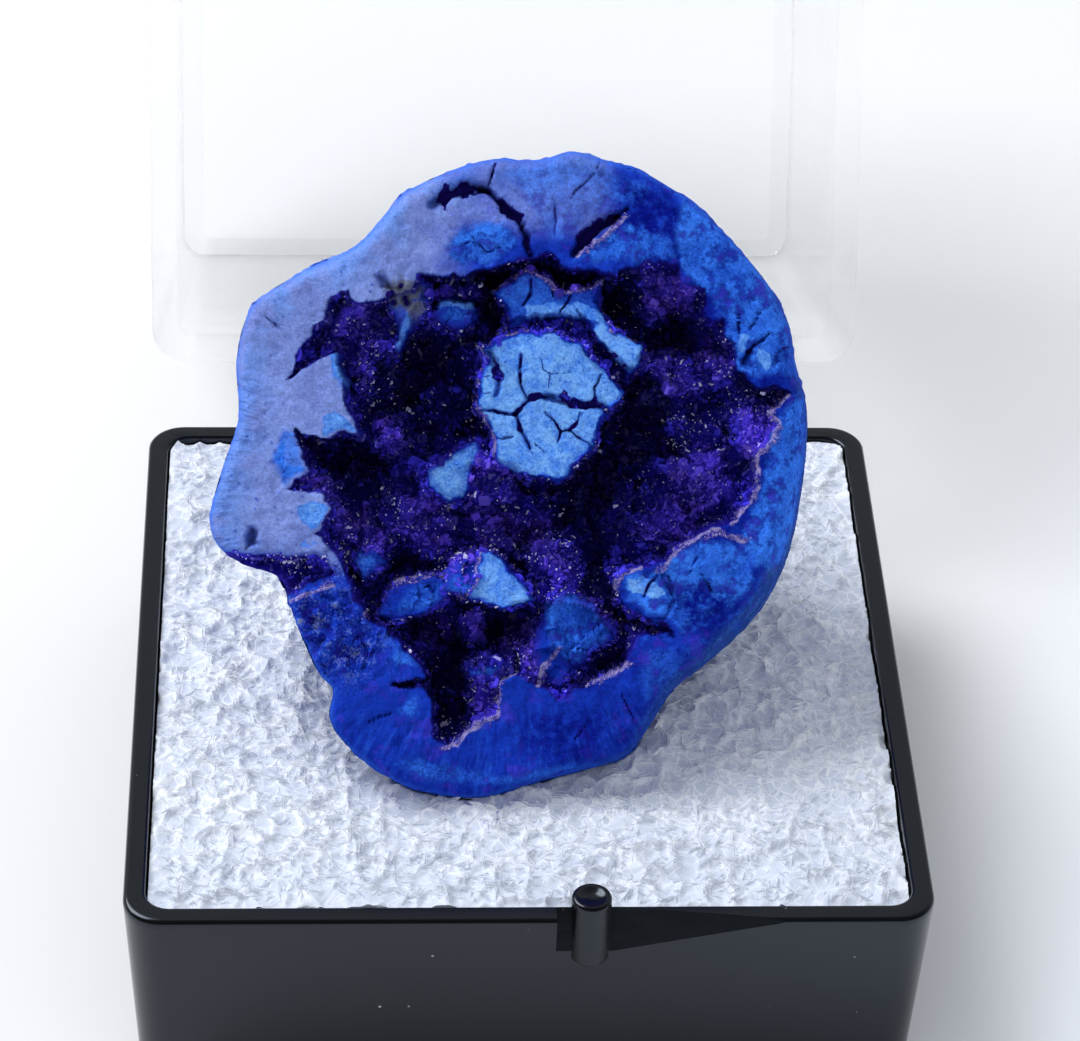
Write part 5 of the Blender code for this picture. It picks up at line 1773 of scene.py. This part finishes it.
        # Painted glints: a share of crystals made pale, more in the clusters and fewer in the painted shade;
        # black carries the painted shade.
        pale_grain_and_painted_glint = draws[:, 1] > 1.0 - 0.20 * (0.25 + patchy) * (1.0 - 0.7 * black) - 0.75 * bright
        shades = {"black": smooth_step(0.25, 0.75, black + 0.1 * NOISE.layered(flat, 0.4, 2, 98)),
                  "violet": violet, "pale_grain_and_painted_glint": pale_grain_and_painted_glint.astype(float), "tone": 0.45 * draws[:, 3] + 0.55 * tone}
        return np.column_stack([flat, height[chosen]]), normal, draws, shades

    @staticmethod
    def turned(shape: Array, places: Array, normal: Array, draws: Array, size: Array, tilt: float) -> Array:
        """Copies of a small shape, each stood on its normal, tipped and spun by its random draws.

        Args:
            shape: Points of the shape as (k, 3), unit size, z up.
            places: Places as (n, 3).
            normal: Directions as (n, 3).
            draws: Random numbers as (n, 4).
            size: Sizes as (n, 3).
            tilt: How far a copy may tip.

        Returns:
            Points as (n, k, 3).
        """
        spin = 2 * math.pi * draws[:, 0]
        tip = unit(normal + tilt * (draws[:, 1:4] - 0.5))
        helper = np.where(np.abs(tip[:, :1]) < 0.8, [[1.0, 0.0, 0.0]], [[0.0, 1.0, 0.0]])
        first = unit(np.cross(tip, helper))
        second = np.cross(tip, first)
        along = first * np.cos(spin)[:, None] + second * np.sin(spin)[:, None]
        side = np.cross(tip, along)
        scaled = shape[None] * size[:, None, :]
        return (places[:, None] + scaled[..., :1] * along[:, None] + scaled[..., 1:2] * side[:, None]
                + scaled[..., 2:] * tip[:, None])

    def _build_crystals(self, finish: Material) -> None:
        """Crust of crystals: four-sided double points, and blades with a roof-shaped end.

        Args:
            finish: Material of the crystals.
        """
        points, faces, values, total = [], [], [], 0
        for shape, shape_faces, count, seed, size_mm in (
                (DOUBLE_POINT, DOUBLE_POINT_FACES, self.crystals, 23, (0.056, 0.056, 0.095)),
                (BLADE, BLADE_FACES, self.prisms, 29, (0.11, 0.04, 0.10))):
            places, normal, draws, shades = self._crystal_places(count, seed)
            growth = (0.6 + 1.3 * draws[:, 2] ** 3 + 0.3 * draws[:, 3]) * (1.0 - 0.45 * shades["pale_grain_and_painted_glint"])
            made = self.turned(shape, places, normal, draws, growth[:, None] * np.array(size_mm), 0.7)
            faces.append(copied_faces(shape_faces, len(made), len(shape), total))
            points.append(made.reshape(-1, 3))
            values.append({name: np.repeat(shade, len(shape)) for name, shade in shades.items()})
            total += len(points[-1])
        thing = new_object("azurite_crystals", self.frame.world(np.concatenate(points)), faces, None)
        give_attributes(thing, self._joined(*values))
        register(thing, Body.BASE, finish, ["azurite_druse"])

    def _build_veins(self, finish: Material) -> None:
        """Crumbly crust: small grains strewn along each route, closest on the route itself.

        Args:
            finish: Material of the crust.
        """
        rng = np.random.default_rng(41)
        spots = []
        for route in VEINS:
            count = int(np.linalg.norm(np.diff(route, axis=0), axis=1).sum() * self.grains_per_mm)
            spine = even_points(route, count)
            spots.append(spine + 0.09 * NOISE.shift(spine, 0.5, 3, 111))
        flat = np.concatenate(spots)
        flat = flat + rng.normal(0.0, 0.055, flat.shape)
        height, = self.front.read(flat, ("height",))
        draws = rng.random((len(flat), 4))
        size = 0.018 + 0.035 * draws[:, 2:3] ** 2
        places = np.column_stack([flat, height + 0.02 * draws[:, 3]])
        up = np.tile([[0.0, 0.0, 1.0]], (len(flat), 1))
        made = self.turned(DOUBLE_POINT, places, up, draws, np.repeat(size, 3, axis=1), 2.0)
        faces = copied_faces(DOUBLE_POINT_FACES, len(made), len(DOUBLE_POINT))
        thing = new_object("pale_vein_crust", self.frame.world(made.reshape(-1, 3)), [faces], None)
        register(thing, Body.BASE, finish)


# ---------------------------------------------------------------- foam

@dataclass
class FoamBlock:
    """Cut foam that fills the base: a field of torn cells with thin films standing up from it."""

    half: float = 14.92
    corner: float = 0.8
    top: float = 9.15
    bottom: float = 1.6
    count: int = 280
    flakes: int = 10000

    def build(self, shell: Array) -> None:
        """Make the foam round the stone.

        Args:
            shell: World points of the stone, in millimetres.
        """
        line = np.linspace(-self.half, self.half, self.count)
        y, x = np.meshgrid(line, line, indexing="ij")
        flat = np.stack([x, y], -1).reshape(-1, 2)
        flat = self._rounded(flat)
        rise, wall, way = self._cells(flat)
        under = self._underside(flat, shell)
        height = np.minimum(self.top + rise, under - 0.06)
        self._build_block(flat, height, wall)
        self._build_films(flat, height, wall, way, under)

    def _rounded(self, flat: Array) -> Array:
        """Square grid with its corners drawn in to the block's rounded corners."""
        inner = self.half - self.corner
        out = np.abs(flat) - inner
        both = (out > 0).all(axis=1)
        away = np.linalg.norm(np.maximum(out, 0.0), axis=1)
        most = np.maximum(out.max(1), 1e-9)
        pull = np.where(both, most / np.maximum(away, 1e-9), 1.0)
        moved = np.sign(flat) * (inner + out * pull[:, None])
        return np.where(both[:, None], moved, flat)

    @staticmethod
    def _cells(flat: Array) -> tuple[Array, Array, Array]:
        """Torn cells: walls rise where the two nearest seeds are as far away, over tilted floors.

        Args:
            flat: Points as (n, 2).

        Returns:
            Rise in millimetres, how much of each point is cell wall, and the direction of the
            nearest wall as an angle.
        """
        bent = flat + 0.22 * NOISE.shift(flat, 1.0, 3, 131)
        rise, wall, way = np.zeros(len(flat)), np.zeros(len(flat)), np.zeros(len(flat))
        for size, lift, dip, salt in ((1.15, 0.16, 0.17, 141), (0.65, 0.07, 0.06, 151)):
            near, following, facts = NOISE.cells(bent, size, salt)
            edge = np.exp(-((following - near) / 0.24) ** 2)
            keep = smooth_step(-0.6, 0.2, NOISE.smooth(flat, 1.1 * size, salt + 3))
            rise += lift * edge * keep - dip * (1.0 - near) * (0.6 + 0.4 * facts[:, 2])
            rise += 0.07 * size * facets(facts)
            way = np.where(edge * keep > wall, np.arctan2(facts[:, 0], -facts[:, 1]), way)
            wall = np.maximum(wall, edge * keep)
        return rise + 0.30 * NOISE.layered(flat, 3.5, 3, 171), wall, way

    def _underside(self, flat: Array, shell: Array) -> Array:
        """Lowest height of the stone over each foam point: a coarse map of its points, read
        smoothly between cells.

        Args:
            flat: Plan of the foam as (n, 2).
            shell: World points of the stone's back.

        Returns:
            Heights as (n,).
        """
        cells = 90
        scale = cells / (2 * self.half)
        lowest = np.full((cells, cells), 60.0)
        index = ((shell[:, :2] + self.half) * scale).astype(int)
        inside = (np.abs(shell[:, :2]) < self.half).all(axis=1)
        np.minimum.at(lowest, (index[inside, 0], index[inside, 1]), shell[inside, 2])
        lowest = np.minimum(lowest, self.top + 6.0)
        return read_grid(lowest, np.clip((flat + self.half) * scale - 0.5, 0.0, cells - 1.001))

    def _build_block(self, flat: Array, height: Array, wall: Array) -> None:
        """Closed block: the top field, plain sides and a flat bottom.

        Args:
            flat: Plan of the top as (n, 2).
            height: Height of each point.
            wall: Share of cell wall at each point.
        """
        border = grid_border(self.count, self.count)
        low_ring = np.column_stack([flat[border] * (1.0 - DRAFT / self.half),
                                    np.full(len(border), self.bottom)])
        points = np.concatenate([np.column_stack([flat, height]), low_ring, [[0.0, 0.0, self.bottom]]])
        faces = [grid_faces(self.count, self.count), *closing_faces(border, len(flat), 1)]
        thing = new_object("foam_block", points, faces, 70.0)
        dust = bell(flat, (-1.5, -9.3, 1.2, 0.5)) * smooth_step(0.62, 0.75, NOISE.smooth(flat, 0.14, 181))
        full = len(points) - len(flat)
        give_attributes(thing, {"wall": np.concatenate([wall, np.full(full, 0.5)]),
                                "dust": np.concatenate([dust, np.zeros(full)])})
        register(thing, Body.BASE, FoamFinish("foam_white").build(), ["foam_insert"])

    def _build_films(self, flat: Array, height: Array, wall: Array, way: Array, under: Array) -> None:
        """Torn films and threads: thin closed lozenges that stand along the cell walls, most of them
        long and narrow.

        Args:
            flat: Plan of the top as (n, 2).
            height: Height of each point.
            wall: Share of cell wall at each point.
            way: Direction of the nearest wall at each point.
            under: Height of the stone above each point.
        """
        rng = np.random.default_rng(37)
        open_sky = (under - height > 0.7) & (np.abs(flat).max(1) < self.half - 0.45)
        chance = (0.12 + wall ** 2) * open_sky
        chosen = rng.choice(len(flat), self.flakes, replace=False, p=chance / chance.sum())
        draws = rng.random((len(chosen), 6))
        long = 0.16 + 0.44 * draws[:, 0] ** 2
        tall = np.where(draws[:, 1] < 0.75, 0.028, 0.05 + 0.22 * draws[:, 1] * long)
        places = np.column_stack([flat[chosen], height[chosen] + 0.03])
        turn = way[chosen] + 1.5 * (draws[:, 2] - 0.5)
        rise = 0.9 * (draws[:, 3] - 0.5)
        along = np.column_stack([np.cos(turn) * np.cos(rise), np.sin(turn) * np.cos(rise), np.sin(rise)])
        side = unit(np.column_stack([-np.sin(turn), np.cos(turn), 0.8 * (draws[:, 4] - 0.5)]))
        stand = unit(np.cross(along, side))
        side = np.cross(stand, along)
        shape = DOUBLE_POINT[None]
        made = (places[:, None] + shape[..., :1] * (long[:, None] * along)[:, None]
                + shape[..., 1:2] * (0.024 * side)[:, None]
                + shape[..., 2:] * (tall[:, None] * stand)[:, None]).reshape(-1, 3)
        index = copied_faces(DOUBLE_POINT_FACES, len(chosen), len(DOUBLE_POINT))
        thing = new_object("foam_films", made, [index], None)
        give_attributes(thing, {"wall": np.ones(len(made)), "dust": np.zeros(len(made))})
        finish = FoamFinish("foam_film_clear", film=(0.88, 0.91, 0.96), hollow=(0.80, 0.84, 0.92), alpha=0.5,
                            gloss=0.4).build()
        register(thing, Body.BASE, finish)


# ---------------------------------------------------------------- the box

def rounded_square(half: float, radius: float) -> Array:
    """Square with round corners: quarter circles of 13 points, and one more point on the straight
    sides close to each of their ends.

    Args:
        half: Half of the side.
        radius: Corner radius.

    Returns:
        Points as (60, 2), anticlockwise from the upper end of the right side.
    """
    arc, flat_end = np.linspace(0.0, 0.5 * math.pi, 13), half - radius - 0.05
    corner = half - radius + radius * heading(arc)
    corner = np.concatenate([[(half, flat_end)], corner, [(flat_end, half)]])
    turns = [np.array([[math.cos(a), math.sin(a)], [-math.sin(a), math.cos(a)]])
             for a in (0.0, 0.5 * math.pi, math.pi, 1.5 * math.pi)]
    return np.concatenate([corner @ turn for turn in turns])


def loft(name: str, rows: Sequence[tuple[float, float, float]]) -> Thing:
    """Closed shell from rounded squares, with a point in the middle of its first and last rows.

    Args:
        name: Name of the object.
        rows: Half side, corner radius and height of each row. The surface is seen from outside when
            rows run up the outer side.

    Returns:
        The object.
    """
    rings = [np.insert(rounded_square(half, radius), 2, level, axis=1) for half, radius, level in rows]
    points = np.concatenate(rings + [[[0.0, 0.0, rows[0][2]], [0.0, 0.0, rows[-1][2]]]])
    return new_object(name, points, tube_faces(len(rings), len(rings[0])), 30.0)


def lathe(profile: Sequence[tuple[float, float]], steps: int = 40) -> Mesh:
    """Solid of revolution about Z: rings of radius r at height z, closed by a point at each end.

    Args:
        profile: Radius and height of each ring, from the bottom up.
        steps: Points round a ring.

    Returns:
        Points as (n, 3), and its faces.
    """
    circle = heading(np.linspace(0.0, 2 * math.pi, steps, endpoint=False))
    rings = [np.insert(circle * radius, 2, level, axis=1) for radius, level in profile]
    points = np.concatenate(rings + [[[0.0, 0.0, profile[0][1]], [0.0, 0.0, profile[-1][1]]]])
    return points, tube_faces(len(rings), steps)


def swept_outline(outline: Array, low: float, high: float, bevel: float) -> Mesh:
    """Plate of constant outline in YZ, run along X, with its two edges cut back by a small bevel.

    Args:
        outline: Outline in (y, z), anticlockwise seen from +X.
        low: Lower end along X.
        high: Upper end along X.
        bevel: Width of the bevel.

    Returns:
        Points as (n, 3), and its faces.
    """
    centre = outline.mean(0)
    away = outline - centre
    shrink = 1.0 - bevel / np.linalg.norm(away, axis=1)[:, None]
    rows = ((low, shrink), (low + bevel, 1.0), (high - bevel, 1.0), (high, shrink))
    rings = [np.column_stack([np.full(len(outline), x), centre + away * scale]) for x, scale in rows]
    points = np.concatenate(rings + [[[low, *centre], [high, *centre]]])
    return points, tube_faces(len(rings), len(outline))


def merged(parts: Sequence[Mesh]) -> Mesh:
    """Several meshes as one list of points and faces.

    Args:
        parts: Points and faces of each.

    Returns:
        Points and faces together.
    """
    points, faces, total = [], [], 0
    for own, own_faces in parts:
        points.append(own)
        faces += [block + total for block in own_faces]
        total += len(own)
    return np.concatenate(points), faces


def quarter(start: tuple[float, float], radius: float, from_deg: float, to_deg: float,
            steps: int = 5) -> list[tuple[float, float]]:
    """Points of an arc about a centre, as (half side, height) pairs."""
    angles = np.radians(np.linspace(from_deg, to_deg, steps))
    return [(start[0] + radius * math.cos(a), start[1] + radius * math.sin(a)) for a in angles]


def hinge_disc(start_deg: float, end_deg: float, count: int) -> Array:
    """Points of the hinge's disc in (y, z), from one angle to another."""
    return (HINGE_Y, HINGE_Z) + HINGE_DISC * heading(np.radians(np.linspace(start_deg, end_deg, count)))


def wall_rows(rows: Sequence[tuple[float, float]], corner: float) -> list[tuple[float, float, float]]:
    """Rows for a loft: the corner radius shrinks by 0.6 of a row's distance inside the box's side."""
    return [(half, max(0.35, corner - (HALF - half) * 0.6), level) for half, level in rows]


def cut_away(thing: Thing, cutter: Thing) -> None:
    """Take one closed object out of another, and remove it.

    Args:
        thing: The object that stays.
        cutter: The object whose inside is taken out.
    """
    modifier = thing.modifiers.new("cut", "BOOLEAN")
    modifier.operation, modifier.solver, modifier.object = "DIFFERENCE", "EXACT", cutter
    apply_modifiers(thing)
    bpy.data.objects.remove(cutter, do_unlink=True)


@dataclass
class BoxBase:
    """Black moulded base: cup, thumb notch, latch pin and hinge lugs."""

    wall: float = 0.86
    floor: float = 1.2
    corner: float = 1.5
    rim_round: float = 0.2
    pin_radius: float = 0.82
    pin_rise: float = 0.9
    pin_foot: float = 2.3
    lug_x: tuple[float, float] = (8.2, 10.2)

    def build(self) -> None:
        """Make the base's pieces."""
        finish = BlackPlasticFinish().build()
        cup = self._cup()
        self._cut_notch(cup)
        register(cup, Body.BASE, finish, ["box_base"])
        self._build_fittings(finish)

    def _cup(self) -> Thing:
        """Shell lofted up the outer wall, over the rounded rim and down the inner wall."""
        low, round_ = HALF - DRAFT, self.rim_round
        rows = [(low - 0.6, 0.0), (low - 0.3, 0.0)]
        rows += quarter((low - 0.25, 0.25), 0.25, -90.0, 0.0)
        rows.append((low + 0.02, 0.6))
        rows.append((HALF - 0.02, BASE_HEIGHT - round_ - 0.3))
        rows += quarter((HALF - round_, BASE_HEIGHT - round_), round_, 0.0, 90.0)
        inner = HALF - self.wall
        rows += quarter((inner + 0.14, BASE_HEIGHT - 0.14), 0.14, 90.0, 180.0)
        rows += [(inner - 0.01, BASE_HEIGHT - 0.5), (inner - DRAFT * 0.9, self.floor)]
        return loft("box_base_cup", wall_rows(rows, self.corner))

    def _cut_notch(self, cup: Thing) -> None:
        """Cut the thumb notch out of the front wall, right of the latch pin: a ramp that goes
        deeper towards the rim and shallower to the right.

        Args:
            cup: The base's shell.
        """
        x, z = np.meshgrid((1.0, 3.2, 11.0), (-2.6, 0.6))
        depth = 0.8 + 0.42 * z - 0.11 * np.maximum(x - 3.2, 0.0)
        rows = [np.stack([x, at, BASE_HEIGHT + z], -1).reshape(-1, 3)
                for at in (depth - HALF, 0.0 * x - HALF - 2.0)]
        faces = [np.array([(0, 3, 4, 1), (1, 4, 5, 2), (6, 7, 10, 9), (7, 8, 11, 10), (0, 1, 7, 6),
                           (1, 2, 8, 7), (3, 9, 10, 4), (4, 10, 11, 5), (0, 6, 9, 3), (2, 5, 11, 8)])]
        cut_away(cup, new_object("thumb_notch_cut", np.concatenate(rows), faces, None))
        bevel = cup.modifiers.new("soft", "BEVEL")
        bevel.width, bevel.segments, bevel.limit_method = 0.07 * MM, 2, "ANGLE"
        bevel.angle_limit = math.radians(38.0)
        weighted = cup.modifiers.new("even", "WEIGHTED_NORMAL")
        weighted.keep_sharp = True
        apply_modifiers(cup)

    def _build_fittings(self, finish: Material) -> None:
        """Latch pin turned about its axis, and two hinge lugs with solid disc ends.

        Args:
            finish: The black plastic.
        """
        top, radius = BASE_HEIGHT + self.pin_rise, self.pin_radius
        foot = BASE_HEIGHT - self.pin_foot
        profile = quarter((radius - 0.3, foot + 0.3), 0.3, -90.0, 0.0, 7)
        profile += [(radius - 0.01, foot + 1.2), (radius - 0.03, top - 0.2)]
        profile += quarter((radius - 0.19, top - 0.16), 0.16, 0.0, 90.0, 6)
        profile += [(radius - 0.32, top - 0.02), (radius - 0.42, top - 0.10), (0.1, top - 0.12)]
        points, faces = lathe(profile)
        pin = (points + np.array([LATCH_X, LATCH_Y, 0.0]), faces)
        disc = hinge_disc(-70.0, 90.0, 18)
        outline = np.concatenate([[(HALF - 0.9, 5.2)], disc, [(HALF - 0.5, 9.3)]])
        lugs = [swept_outline(outline, *sorted((side * self.lug_x[0], side * self.lug_x[1])), 0.12)
                for side in (-1, 1)]
        points, faces = merged([pin, *lugs])
        thing = new_object("box_base_fittings", points, faces, 40.0)
        register(thing, Body.BASE, finish)


@dataclass
class BoxLid:
    """Clear moulded lid, modelled shut and swung open about the hinge."""

    wall: float = 1.2
    corner: float = 1.5
    ear_x: tuple[float, float] = (5.8, 7.9)
    pin_reach: float = 10.1
    pin_radius: float = 0.8
    socket_radius: float = 1.0
    socket_rise: float = 0.8

    def build(self) -> None:
        """Make the lid's pieces."""
        finish = ClearPlasticFinish().build()
        cup = self._cup()
        self._cut_socket(cup)
        self._swing(cup)
        register(cup, Body.LID, finish, ["box_lid"])
        fittings = self._fittings()
        self._swing(fittings)
        register(fittings, Body.LID, finish)

    def _cup(self) -> Thing:
        """Shell lofted from the middle of the inner top, down the inner wall, round the rim and up
        the outer wall to the middle of the outer top."""
        low = BASE_HEIGHT + GAP
        high = low + LID_HEIGHT
        inner, top_half = HALF - self.wall, HALF - DRAFT
        rows = [(inner - DRAFT - 0.5, high - self.wall), (inner - DRAFT - 0.02, high - self.wall)]
        rows += [(inner - DRAFT + 0.01, high - self.wall - 0.15), (inner - 0.02, low + 0.5)]
        rows += quarter((inner + 0.12, low + 0.12), 0.12, 180.0, 270.0)
        rows += quarter((HALF - 0.15, low + 0.15), 0.15, -90.0, 0.0)
        rows += [(HALF - 0.01, low + 0.6), (top_half + 0.02, high - 0.8)]
        rows += quarter((top_half - 0.4, high - 0.4), 0.4, 0.0, 90.0, 6)
        rows.append((top_half - 1.0, high))
        return loft("box_lid_cup", wall_rows(rows, self.corner))

    def _cut_socket(self, cup: Thing) -> None:
        """Cut a slot for the latch pin out of the front wall's rim.

        Args:
            cup: The lid's shell, still shut.
        """
        low = BASE_HEIGHT + GAP
        points, faces = lathe([(self.socket_radius, level)
                               for level in (low - 0.5, low + self.socket_rise)], 32)
        cutter = new_object("latch_socket_cut", points + np.array([LATCH_X, LATCH_Y, 0.0]), faces, None)
        cut_away(cup, cutter)

    def _fittings(self) -> Thing:
        """Hinge ears with their pins."""
        low = BASE_HEIGHT + GAP
        disc = hinge_disc(180.0, 380.0, 24)
        outline = np.concatenate([[(HALF - 0.1, low + 3.4), (HALF - 0.1, low)], disc])
        parts = []
        for side in (-1, 1):
            near, far = sorted((side * self.ear_x[0], side * self.ear_x[1]))
            parts.append(swept_outline(outline, near, far, 0.1))
            ends = sorted((side * (self.ear_x[1] - 0.05), side * self.pin_reach))
            points, faces = lathe([(self.pin_radius, ends[0]), (self.pin_radius, ends[1] - 0.1),
                                   (self.pin_radius - 0.1, ends[1])], 24)
            turned = np.stack([points[:, 2], points[:, 0] + HINGE_Y, points[:, 1] + HINGE_Z], 1)
            parts.append((turned, faces))
        points, faces = merged(parts)
        return new_object("box_lid_fittings", points, faces, 40.0)

    @staticmethod
    def _swing(thing: Thing) -> None:
        """Turn a shut piece open about the hinge, in its mesh."""
        axis = Vector((0.0, HINGE_Y, HINGE_Z)) * MM
        turn = Matrix.Rotation(-math.radians(LID_OPEN_DEG), 4, "X")
        thing.data.transform(Matrix.Translation(axis) @ turn @ Matrix.Translation(-axis))


# ---------------------------------------------------------------- room

@dataclass
class Studio:
    """Plain white table, soft light from the upper left, and the camera."""

    camera_mm: tuple[float, float, float] = (-7.42990, -133.63002, 123.08599)
    pitch_deg: float = 38.46936
    yaw_deg: float = 3.47902
    roll_deg: float = 2.16666
    lens: float = 140.15
    key_watts: float = 1.38
    key_place: tuple[float, float, float] = (-0.20, 0.12, 0.32)
    key_size: float = 0.24
    fill_strength: float = 0.71
    gloss_front: float = 0.03
    gloss_back: float = 0.45
    seen_strength: float = 0.95

    def build(self) -> None:
        """Make the table, the lights and the camera."""
        self._build_table()
        self._build_light()
        self._build_camera()
        bpy.context.scene.view_settings.view_transform = "Standard"

    @staticmethod
    def _build_table() -> None:
        """Large level square just under the box."""
        far = 1500.0
        points = np.array([(-far, -far, -0.05), (far, -far, -0.05), (far, far, -0.05), (-far, far, -0.05)])
        table = new_object("table", points, [np.array([(0, 1, 2, 3)])], None)
        table.data.materials.append(TableFinish().build())

    def _build_light(self) -> None:
        """World light from all round and one soft lamp."""
        sheet = NodeSheet("white_room", world=True)
        bpy.context.scene.world = sheet.owner
        way = sheet.node("ShaderNodeTexCoord", {}, {}).out("Generated")
        behind = sheet.node("ShaderNodeSeparateXYZ", {}, {"Vector": way}).out("Y")
        path = sheet.node("ShaderNodeLightPath", {}, {})
        level = sheet.spread(behind, -0.2, 0.5, self.gloss_front, self.gloss_back)
        level = sheet.spread(path.out("Is Glossy Ray"), 0.0, 1.0, self.seen_strength, level)
        level = sheet.spread(path.out("Is Diffuse Ray"), 0.0, 1.0, level, self.fill_strength)
        background = sheet.node("ShaderNodeBackground", {}, {"Color": (0.95, 0.97, 1.0), "Strength": level})
        sheet.node("ShaderNodeOutputWorld", {}, {"Surface": background.out("Background")})
        lamp = bpy.data.lights.new("window", "AREA")
        lamp.shape, lamp.size, lamp.energy = "SQUARE", self.key_size, self.key_watts
        thing = bpy.data.objects.new("window", lamp)
        bpy.context.scene.collection.objects.link(thing)
        thing.location = self.key_place
        aim = Vector((0.0, 0.0, 0.018)) - Vector(self.key_place)
        thing.rotation_euler = aim.to_track_quat("-Z", "Y").to_euler()

    def _build_camera(self) -> None:
        """Camera from its pitch, yaw and roll."""
        pitch, yaw, roll = (math.radians(a) for a in (self.pitch_deg, self.yaw_deg, self.roll_deg))
        ahead = Vector((math.sin(yaw) * math.cos(pitch), math.cos(yaw) * math.cos(pitch), -math.sin(pitch)))
        right = Vector((math.cos(yaw), -math.sin(yaw), 0.0))
        up = right.cross(ahead)
        right, up = math.cos(roll) * right + math.sin(roll) * up, math.cos(roll) * up - math.sin(roll) * right
        data = bpy.data.cameras.new("camera")
        data.sensor_width, data.lens, data.clip_start = 36.0, self.lens, 0.001
        data.sensor_fit = "HORIZONTAL"
        camera = bpy.data.objects.new("camera", data)
        bpy.context.scene.collection.objects.link(camera)
        rows = [(*axes, place * MM) for axes, place in zip(zip(right, up, -ahead), self.camera_mm)]
        camera.matrix_world = Matrix([*rows, (0.0, 0.0, 0.0, 1.0)])
        bpy.context.scene.camera = camera


def main() -> None:
    """Load the frame, and build the specimen, its box and its room."""
    logging.basicConfig(level=logging.INFO, format="%(message)s")
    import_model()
    Studio().build()
    FoamBlock().build(Nodule().build())
    BoxBase().build()
    BoxLid().build()


if __name__ == "__main__":
    main()
